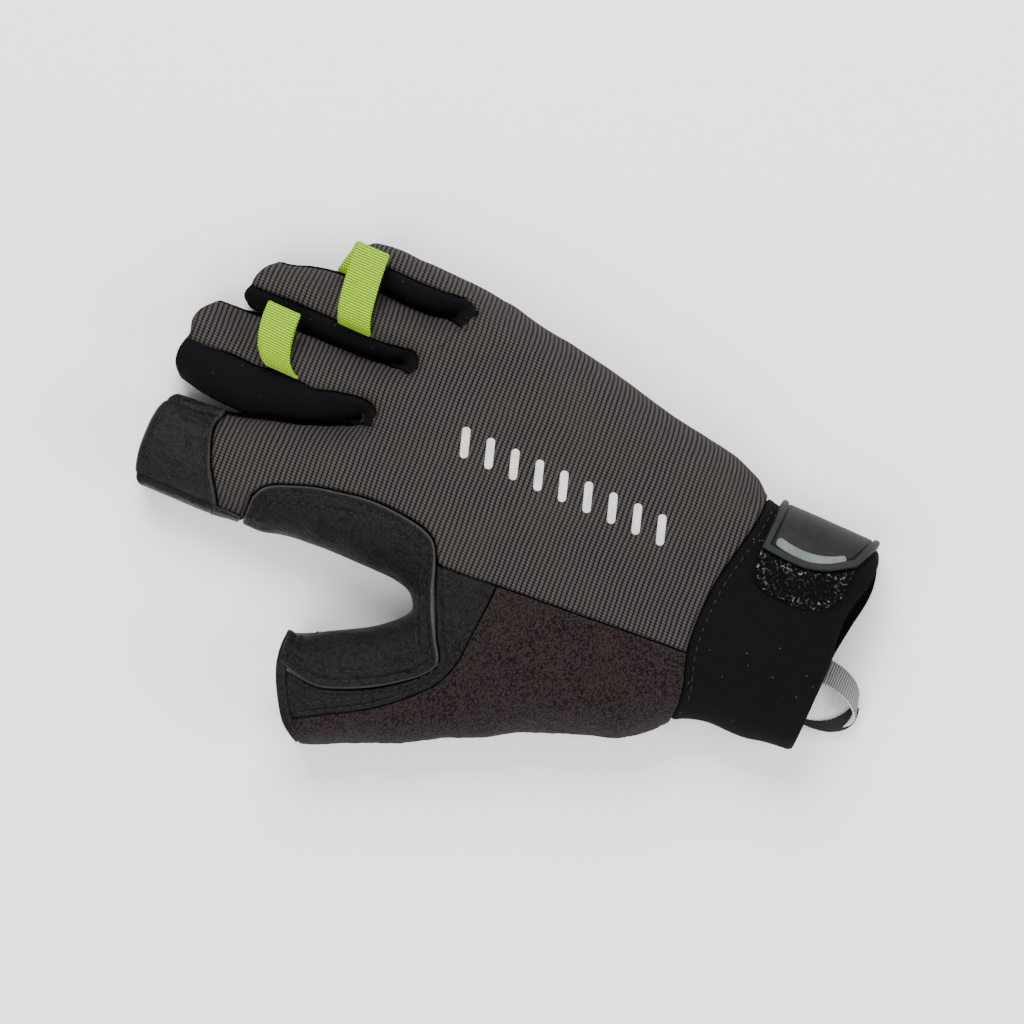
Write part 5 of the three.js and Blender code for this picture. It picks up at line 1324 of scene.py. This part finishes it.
# %% Palm leather
CUFF_SEAM_PALM = [
    (-34, -64.6), (-27, -63.6), (-21, -63), (-10, -62.4), (0, -62.3), (10, -62.8), (20, -63.6),
    (25, -64.2),
]
THENAR_SEAM = [(-21, -63), (-21.8, -50), (-23.6, -35), (-25.6, -20), (-27.8, -8), (-30.6, 1)]
MEETING_ROW, PALM_CELLS, PALM_HEM_ROW = 12, (20, 18, 16, 10), 2.2
thenar = curve(THENAR_SEAM, FINE)
seam_palm, thenar_share = cuff_seam(CUFF_SEAM_PALM, thenar[0, 0])
under = radial.inside(crotch_s, patch_under + HALF_GAP)


def sewn(line, s):
    """Plan points of the side seam on the palm side."""
    return line.inside(np.asarray(s), np.full(len(s), SIDE_SEAM + HALF_GAP))


def palm_grids():
    left = even(np.vstack([shift(thenar, -HALF_GAP),
                           under[FORK_ROW * FINE:MEETING_ROW * FINE + 1][::-1]]), 92)
    s = ulnar.spread(ulnar_seam + HALF_GAP, ulnar_fork, 92)
    right = sewn(ulnar, s)
    forks = [gap.turn(2) for gap in gaps]
    stops = [under[FORK_ROW * FINE], *forks, right[-1]]
    lines = [straight(a, b, towards(n)) for a, b, n in zip(stops, stops[1:], PALM_CELLS)]
    top = np.vstack([lines[0], *(line[1:] for line in lines[1:])])
    way = walked(top) / walked(top)[-1]
    shares = thenar_share + (1 - thenar_share) * way
    bottom = ends(course(shift(seam_palm, HALF_GAP), shares), left[0], right[0])
    bottom[0] = left[0] = left[0] + (0, HALF_GAP)
    s_index = radial.spread(notch, radial.crossing(INDEX_END), 30)
    index = np.vstack([even(under[:FORK_ROW * FINE + 1][::-1], 26), sewn(radial, s_index)[1:]])
    s_little = ulnar.spread(ulnar_fork, ulnar.crossing(LITTLE_END), 56)
    lefts = [index, *(gap.seam(gap.second, 2) for gap in gaps)]
    rights = [*(gap.seam(gap.first, 2) for gap in gaps), sewn(ulnar, s_little)]
    fingers = [strip(line, a, b) for line, a, b in zip(lines, lefts, rights)]
    return [cloth(filled(bottom, top, left, right), -1, False),
            *(cloth(to_mouth(finger, 0.8), -1, False) for finger in fingers)]


def palm_relief(points, edge):
    at = points[:, 6:8]
    hem = groove(edge, PALM_HEM_ROW, 0.22) + rolled(edge, 0.6, 1.0)
    flat_below = np.minimum((rough(at, 9.0, 51) * 0.5 - 0.3) + rough(at, 2.5, 52) * 0.12, 0.0)
    return hem + flat_below * np.clip(edge / 2, 0, 1)


dressed("palm_leather_main", palm_grids(), WALLS["leather"], palm_relief,
        "palm", "leather", "palm_panel")


# %% Thumb's palm side
THUMB_END_BULGE = np.array((-1.4, 3.6))


def thumb_palm_grids(rows=80, cells=40):
    inner = even(np.vstack([shift(thenar, HALF_GAP), under[MEETING_ROW * FINE:]]), rows)
    inner[0, 1] += HALF_GAP
    s = thumb_outer.spread(thumb_foot - HALF_GAP, thumb_mouth, rows)
    outer = sewn(thumb_outer, s)
    shares = thenar_share * (1 - np.linspace(0, 1, cells + 1))
    bottom = ends(course(shift(seam_palm, HALF_GAP), shares), inner[0], outer[0])
    t = np.linspace(0, 1, cells + 1)
    top = straight(inner[-1], outer[-1], t) + np.sin(t * np.pi)[:, None] * THUMB_END_BULGE
    return [cloth(filled(bottom, top, inner, outer), -1, False)]


dressed("palm_leather_thumb", thumb_palm_grids(), WALLS["leather"], palm_relief,
        "palm", "leather", "thumb_palm")
palm_lines = [shift(thenar, -PALM_HEM_ROW)[4:-4], shift(thenar, PALM_HEM_ROW)[4:-4],
              shift(seam_palm, PALM_HEM_ROW)[6:-6]]
palm_rows = [laid_on(line, -1, palm_relief, PALM_HEM_ROW) for line in palm_lines]
patch_low = radial.inside(crotch_s, patch_under - PALM_HEM_ROW)
palm_rows.append(laid_on(patch_low, -1, patch_relief, PALM_HEM_ROW))
stitches("palm_stitches", palm_rows)

# %% [markdown]
# ## Cuff
# A soft tube of stretch cloth, made of a back half and a palm half that share their side lines.

# %% Cuff
CUFF_END_BACK = [
    (-29, -99.6), (-20, -99.6), (-6, -99.5), (0, -98.6), (6, -98.2), (12, -99), (18, -100.6),
    (25, -100.6),
]
CUFF_END_PALM = [
    (-29, -99.7), (-20, -99.8), (-6, -100), (0, -100.6), (6, -101.4), (14, -102.6), (20, -102.4),
    (25, -101),
]
CUFF_END_Y = -0.4788 * GLOVE_LENGTH


def cuff_grids(rows=38, cells=70):
    s_left = thumb_outer.spread(thumb_foot + HALF_GAP, thumb_outer.crossing(CUFF_END_Y, True), rows)
    s_right = ulnar.spread(ulnar_seam - HALF_GAP, ulnar.crossing(CUFF_END_Y), rows)
    left, right = thumb_outer.at(s_left)[0], ulnar.at(s_right)[0]
    grids = []
    for seam, end, side in ((seam_back, CUFF_END_BACK, 1), (seam_palm, CUFF_END_PALM, -1)):
        rim = curve(np.vstack([left[-1], end, right[-1]]), FINE)
        bottom = ends(course(shift(seam, -HALF_GAP), towards(cells, "both")), left[0], right[0])
        top = ends(course(rim, towards(cells, "both")), left[-1], right[-1])
        grids.append(cloth(filled(bottom, top, left, right), side, False))
    return grids


def cuff_relief(points, edge):
    at = points[:, 6:8]
    below = ease(span(-points[:, 5], 0.1, 0.7))
    waves = rough(at, 8.0, 61) * 0.3 + rough(at * (1, 0.5), 3.5, 62) * 0.1
    return rolled(edge, 0.6, 1.0) + waves * (1 - below) + np.minimum(waves - 0.3, 0) * below


dressed("cuff_tube", cuff_grids(), WALLS["cuff"], cuff_relief, "cuff", "neoprene", "cuff")
CUFF_ROW = 2.3
stitches("cuff_stitches", [laid_on(shift(seam_back, -CUFF_ROW)[10:-6], 1, cuff_relief, CUFF_ROW)])

# %% [markdown]
# ## Closure
# The cuff closes with a pad of loops and a rubber tab that hooks on it. The tab's face is
# recessed inside a raised rim, and a pale stripe runs beside its front edge.

# %% Loop pad
CLOSURE = np.array([
    (-69.5, 6.75, 15.6, -68.1), (-71.8, 5.04, 15.3, -71.3), (-75.9, 4.32, 15, -75.9),
    (-82.2, 4.23, 15.2, -82.2), (-88.4, 5.04, 17.1, -88.4), (-92.1, 7.2, 19.1, -92.1),
    (-94.9, 11.7, 20.9, -95.1),
])
TAB_FOOT_Y = -0.4755 * GLOVE_LENGTH
closure = curve(CLOSURE, 16)


def pad_grid():
    left, right = closure[:, [1, 0]], closure[:, [2, 3]] - (0.4, 0)
    t = np.linspace(0, 1, 26)[None, :, None]
    return cloth(left[:, None] + (right - left)[:, None] * t, 1)


def pad_relief(points, edge):
    at = points[:, 6:8]
    fluff = np.abs(rough(at, 0.7, 71)) * 0.5 + np.abs(rough(at, 1.5, 72)) * 0.3
    return 1.5 + rolled(edge, 0.8, 1.0) + fluff * np.clip(edge / 1.0, 0.2, 1)


dressed("loop_pad_fuzz", [pad_grid()], LAID_ON, pad_relief, "fuzz", "fuzz", "loop_pad")

# %% Rubber tab
TAB_FACE, TAB_TOP_Y = 1.9, -68.4
tab_s = np.linspace(ulnar.crossing(TAB_TOP_Y), ulnar.crossing(TAB_FOOT_Y), len(closure))


def tab_grid(cells=60, turns=26):
    station, _, _ = ulnar.at(tab_s)
    left = closure[:, [2, 3]]
    top = left[:, None] + (station - left)[:, None] * towards(cells, "end")[None, :, None]
    arcs = -0.66 * EDGE_ROUND * np.linspace(0, 1, turns + 1)[None, 1:]
    return np.concatenate([cloth(top, 1), round_edge(ulnar, tab_s, arcs, 0)], 1)


def tab_relief(points, edge):
    rim = 1 - ease(span(edge, 1.7, 2.1))
    return TAB_FACE + 0.55 * rim + rolled(edge, 0.6, 0.7) + groove(edge, 2.3, 0.4, 0.25)


dressed("tab_rubber_face", [tab_grid()], LAID_ON, tab_relief, "tab", "rubber", "strap_tab")

# %% Pale stripe on the tab
STRIPE = curve([
    (18.8, -71.2), (18.2, -75), (18, -79), (18.3, -83), (19.4, -87.4), (21.3, -91.6),
], 12)
STRIPE_WIDTH = 2.2


def stripe_grid():
    """Strip along a line, half width times sqrt(1 - w^2) within half a width of its ends."""
    way = walked(STRIPE)
    w = np.clip(1 - np.minimum(way, way[-1] - way) / (STRIPE_WIDTH / 2), 0, 1)
    side = np.linspace(-1, 1, 9)[None, :] * (STRIPE_WIDTH / 2 * np.sqrt(1 - w**2))[:, None]
    return cloth(STRIPE[:, None] + side[..., None] * left_of(STRIPE)[:, None], 1)


def stripe_relief(points, edge):
    return TAB_FACE + 0.3 + rolled(edge, 0.2, 0.3)


dressed("pale_tab_stripe", [stripe_grid()], 0.2 - TAB_FACE, stripe_relief,
        "stripe", "stripe", "tab_stripe")

# %% [markdown]
# ## Tapes
# Each tape is a strip between two lines of edge points. A fine smooth strip comes from a curve
# through the rows, and its thickness from the cross product of the two directions of the strip.

# %% Tape
PULL_MIDDLE = [
    (5.8, 71.7, 23.6, 5.8, 81.7, 23.6), (6.6, 72.7, 25.1, 6.75, 83.9, 25.3),
    (8.6, 74.5, 26.5, 9, 85.9, 26.8), (12.2, 76.4, 27.3, 12.6, 87.3, 27.6),
    (16.2, 77.7, 27.3, 16.7, 88, 27.6), (20.3, 78, 26.4, 20.3, 88.3, 26.7),
    (22, 78, 25.6, 22, 88.4, 25.9), (22.4, 78, 25, 22.4, 88.4, 25.3),
    (21.9, 78, 24.3, 21.9, 88.3, 24.6), (18, 77.8, 24.3, 18, 87.9, 24.5),
    (13.5, 77, 24.3, 13.5, 87.1, 24.6), (9.5, 75.9, 24.2, 9.5, 86, 24.3),
]
PULL_RING = [
    (25.1, 57.6, 23.5, 25.1, 68, 22.9), (26.6, 58.3, 26, 26.6, 68.7, 25.6),
    (29.3, 59.5, 27.3, 29.3, 69.5, 27), (34.2, 60.6, 27.8, 34.2, 70.3, 27.4),
    (39.6, 61.6, 27.3, 39.6, 70.9, 27), (45, 62.3, 26, 45, 71.3, 25.9),
    (47.8, 62.5, 25.1, 47.8, 71.6, 25.1), (48.2, 62.6, 24.5, 48.2, 71.7, 24.5),
    (47.6, 62.8, 23.9, 47.6, 71.8, 23.9), (45, 63.1, 23.6, 45, 72.2, 23.6),
    (42.4, 63.6, 23.4, 42.4, 73, 23.4), (40.2, 64, 22.4, 40.2, 73.5, 22.4),
    (39.2, 64.2, 20.4, 39.2, 73.7, 20.4), (39, 64.2, 18.4, 39, 73.7, 18.4),
]
HANG_LOOP = [
    (-5.7, -96.9, 3.7, -12.5, -96.9, 10.5), (-5.7, -100.5, 3.4, -12.5, -100.5, 10.2),
    (-6.5, -104.6, 3.1, -12.9, -104.4, 9.6), (-8.4, -108.7, 3, -14.5, -109.2, 9),
    (-11.1, -110.8, 2.6, -17.9, -112.7, 6.4), (-12.8, -110.7, 1.7, -20.9, -112, 3.1),
    (-13.2, -108.2, 1.1, -23.4, -108.6, 1.4), (-13.1, -104.6, 1.2, -24.8, -104.6, 1.4),
    (-12.8, -101.9, 2.6, -25.2, -101.9, 2.6), (-12.6, -99.2, 3.9, -25.2, -99.2, 3.9),
    (-12.6, -96.9, 3.9, -25.2, -96.9, 3.9),
]


TAPE_WIDTH, TAPE_WALL = 10.05, 0.9


def of_width(rows, width=TAPE_WIDTH):
    """The same rows, with their two edge points a tape's width apart."""
    rows = np.array(rows, float)
    middle, half = (rows[:, :3] + rows[:, 3:]) / 2, rows[:, 3:] - rows[:, :3]
    half *= (width / 2 / np.linalg.norm(half, axis=1))[:, None]
    return np.hstack([middle - half, middle + half])


def tape_grid(rows, across=16, fine=12):
    """Points of a tape: edge lines drawn smooth, straight across, with the outward direction
    along the cross product of its length and its width."""
    line = curve(rows, fine)
    a, b = line[:, None, :3], line[:, None, 3:]
    t = np.linspace(0, 1, across + 1)[None, :, None]
    place = a + (b - a) * t
    out = unit(np.cross(np.gradient(place, axis=0), b - a))
    width = np.linalg.norm(line[:, 3:] - line[:, :3], axis=1)
    flat = np.stack([np.broadcast_to(t[..., 0], place.shape[:2]) * width.mean(),
                     np.broadcast_to(walked(place[:, across // 2])[:, None], place.shape[:2])], -1)
    return np.concatenate([place, out, flat], -1)


def tape_relief(points, edge):
    selvage = 0.1 * hill(edge, 0.6, 0.3) + rolled(edge, 0.25, 0.3)
    return TAPE_WALL / 2 - 0.05 + selvage


for name, rows, finish, slot, node in (
    ("pull_tape_middle", of_width(PULL_MIDDLE), "green", "green_tape", "pull_loop_middle"),
    ("pull_tape_ring", of_width(PULL_RING), "green", "green_tape", "pull_loop_ring"),
    ("hang_tape", HANG_LOOP[::-1], "heather", "tape", "hang_loop"),
):
    dressed(name, [tape_grid(rows)], TAPE_WALL / 2, tape_relief, finish, slot, node)

# %% Black border of the hanging loop
HANG_BORDER = [
    (-24, -96.9, 4.6, -25.7, -96.9, 4.6), (-24, -99.3, 4.5, -25.7, -99.3, 4.4),
    (-23.2, -103, 3, -25.6, -103.4, 2.8), (-21.4, -106.4, 2.3, -24.5, -108.2, 2),
    (-18.6, -109, 2.6, -21.7, -112.1, 2.6), (-15.6, -110.6, 3.6, -18, -113.3, 4),
    (-14.2, -111.1, 4.3, -15.2, -112.9, 4.6),
]


def border_relief(points, edge):
    return 0.35 + rolled(edge, 0.2, 0.3)


dressed("hang_tape_border", [tape_grid(HANG_BORDER, 8)], 0.3, border_relief, "border", "tape")

# %% [markdown]
# ## Flat cuts
# Every panel and tape is cloth or leather cut flat. The cut comes from the panel rolled out: its
# box in the flat plan, and its area there. A strip or the cuff's tube is given as a plain strip
# of the same area and its own length.

# %% Sheets
CUFF_LENGTH = 36.0


def declare(name, held, rests_on, *with_pieces, length=None):
    width, long, area = CUTS[name]
    if length:
        width, long = area / length, length
    area = min(area, width * long)
    print(f"{name}: cut {width:.0f} x {long:.0f} mm, {area / 100:.1f} cm2, {held}")
    width * MM
    long * MM
    area * MM * MM


hand = ["knit_back", "palm_leather_main"]
for name, gap in zip(("index", "middle", "ring"), gaps):
    declare("stretch_strip_" + name, "stretched", hand, length=gap.stop - gap.start)
declare("knit_back", "stretched", ["palm_leather_main", "cuff_tube"], "pale_bars")
declare("terry_thumb_back", "stretched", ["knit_back", "palm_leather_thumb"],
        "crotch_base_leather", "base_stitches", "thumb_hem_band", "hem_stitches")
declare("palm_leather_main", "stretched", ["cuff_tube"], "palm_stitches")
declare("palm_leather_thumb", "stretched", ["palm_leather_main"])
declare("crotch_patch_leather", "stretched", hand, "patch_stitches")
declare("index_cap_leather", "stretched", hand, "cap_stitches", "index_side_lip")
declare("cuff_tube", "stretched", hand, "cuff_stitches", length=CUFF_LENGTH)
declare("loop_pad_fuzz", "laid", ["cuff_tube"])
declare("pull_tape_middle", "folded", ["knit_back"])
declare("pull_tape_ring", "folded", ["knit_back"])
declare("hang_tape", "folded", ["cuff_tube"], "hang_tape_border")

# %% [markdown]
# ## Stage
# A pale floor, soft light and the camera straight above, turned as the photograph is.

# %% Floor, light and camera
FLOOR_HALF, FLOOR_Z = 4.0, -0.0004
floor_mesh = bpy.data.meshes.new("floor")
corners = [(x * FLOOR_HALF, y * FLOOR_HALF, FLOOR_Z)
           for x, y in ((-1, -1), (1, -1), (1, 1), (-1, 1))]
floor_mesh.from_pydata(corners, [], [(0, 1, 2, 3)])
floor = put_object("floor", floor_mesh)
white = Finish("pale_floor", Roughness=0.9, Specular_IOR_Level=0.1)
white.shader.inputs["Base Color"].default_value = (0.92, 0.92, 0.92, 1)
floor.data.materials.append(white.material)

# Image right and up in the glove's own directions, from the photograph's roll of 24 degrees.
ROLL = math.radians(24)
RIGHT = np.array([math.sin(ROLL), -math.cos(ROLL), 0])
UP = np.array([math.cos(ROLL), math.sin(ROLL), 0])
VIEW_CENTRE = np.array([-4.05, 0.69, 14.0]) * MM
VIEW_WIDTH, DISTANCE, SENSOR = 0.2918, 3.0, 36

camera_data = bpy.data.cameras.new("camera")
camera_data.sensor_width = SENSOR
camera_data.lens = SENSOR * DISTANCE / VIEW_WIDTH
camera = put_object("camera", camera_data)
turn = Matrix([(RIGHT[i], UP[i], (0, 0, 1)[i]) for i in range(3)])
camera.matrix_world = Matrix.Translation(Vector(VIEW_CENTRE + (0, 0, DISTANCE))) @ turn.to_4x4()
bpy.context.scene.camera = camera


def lamp(name, place, size, power):
    """A square soft light aimed at the glove's middle."""
    data = bpy.data.lights.new(name, "AREA")
    data.size, data.energy = size, power
    obj = put_object(name, data)
    obj.location = place
    obj.rotation_mode = "QUATERNION"
    obj.rotation_quaternion = (Vector(place) - Vector(VIEW_CENTRE)).to_track_quat("Z", "Y")


lamp("key", (0.9, 0.5, 1.1), 0.9, 38)
lamp("fill", (-0.9, 0.3, 1.3), 1.4, 30)
lamp("back", (0.1, -1.2, 0.9), 1.1, 22)
WORLD_LIGHT = 0.35
world = bpy.data.worlds.new("studio")
world.use_nodes = True
background = world.node_tree.nodes["Background"]
background.inputs[0].default_value = (1, 1, 1, 1)
background.inputs[1].default_value = WORLD_LIGHT
bpy.context.scene.world = world
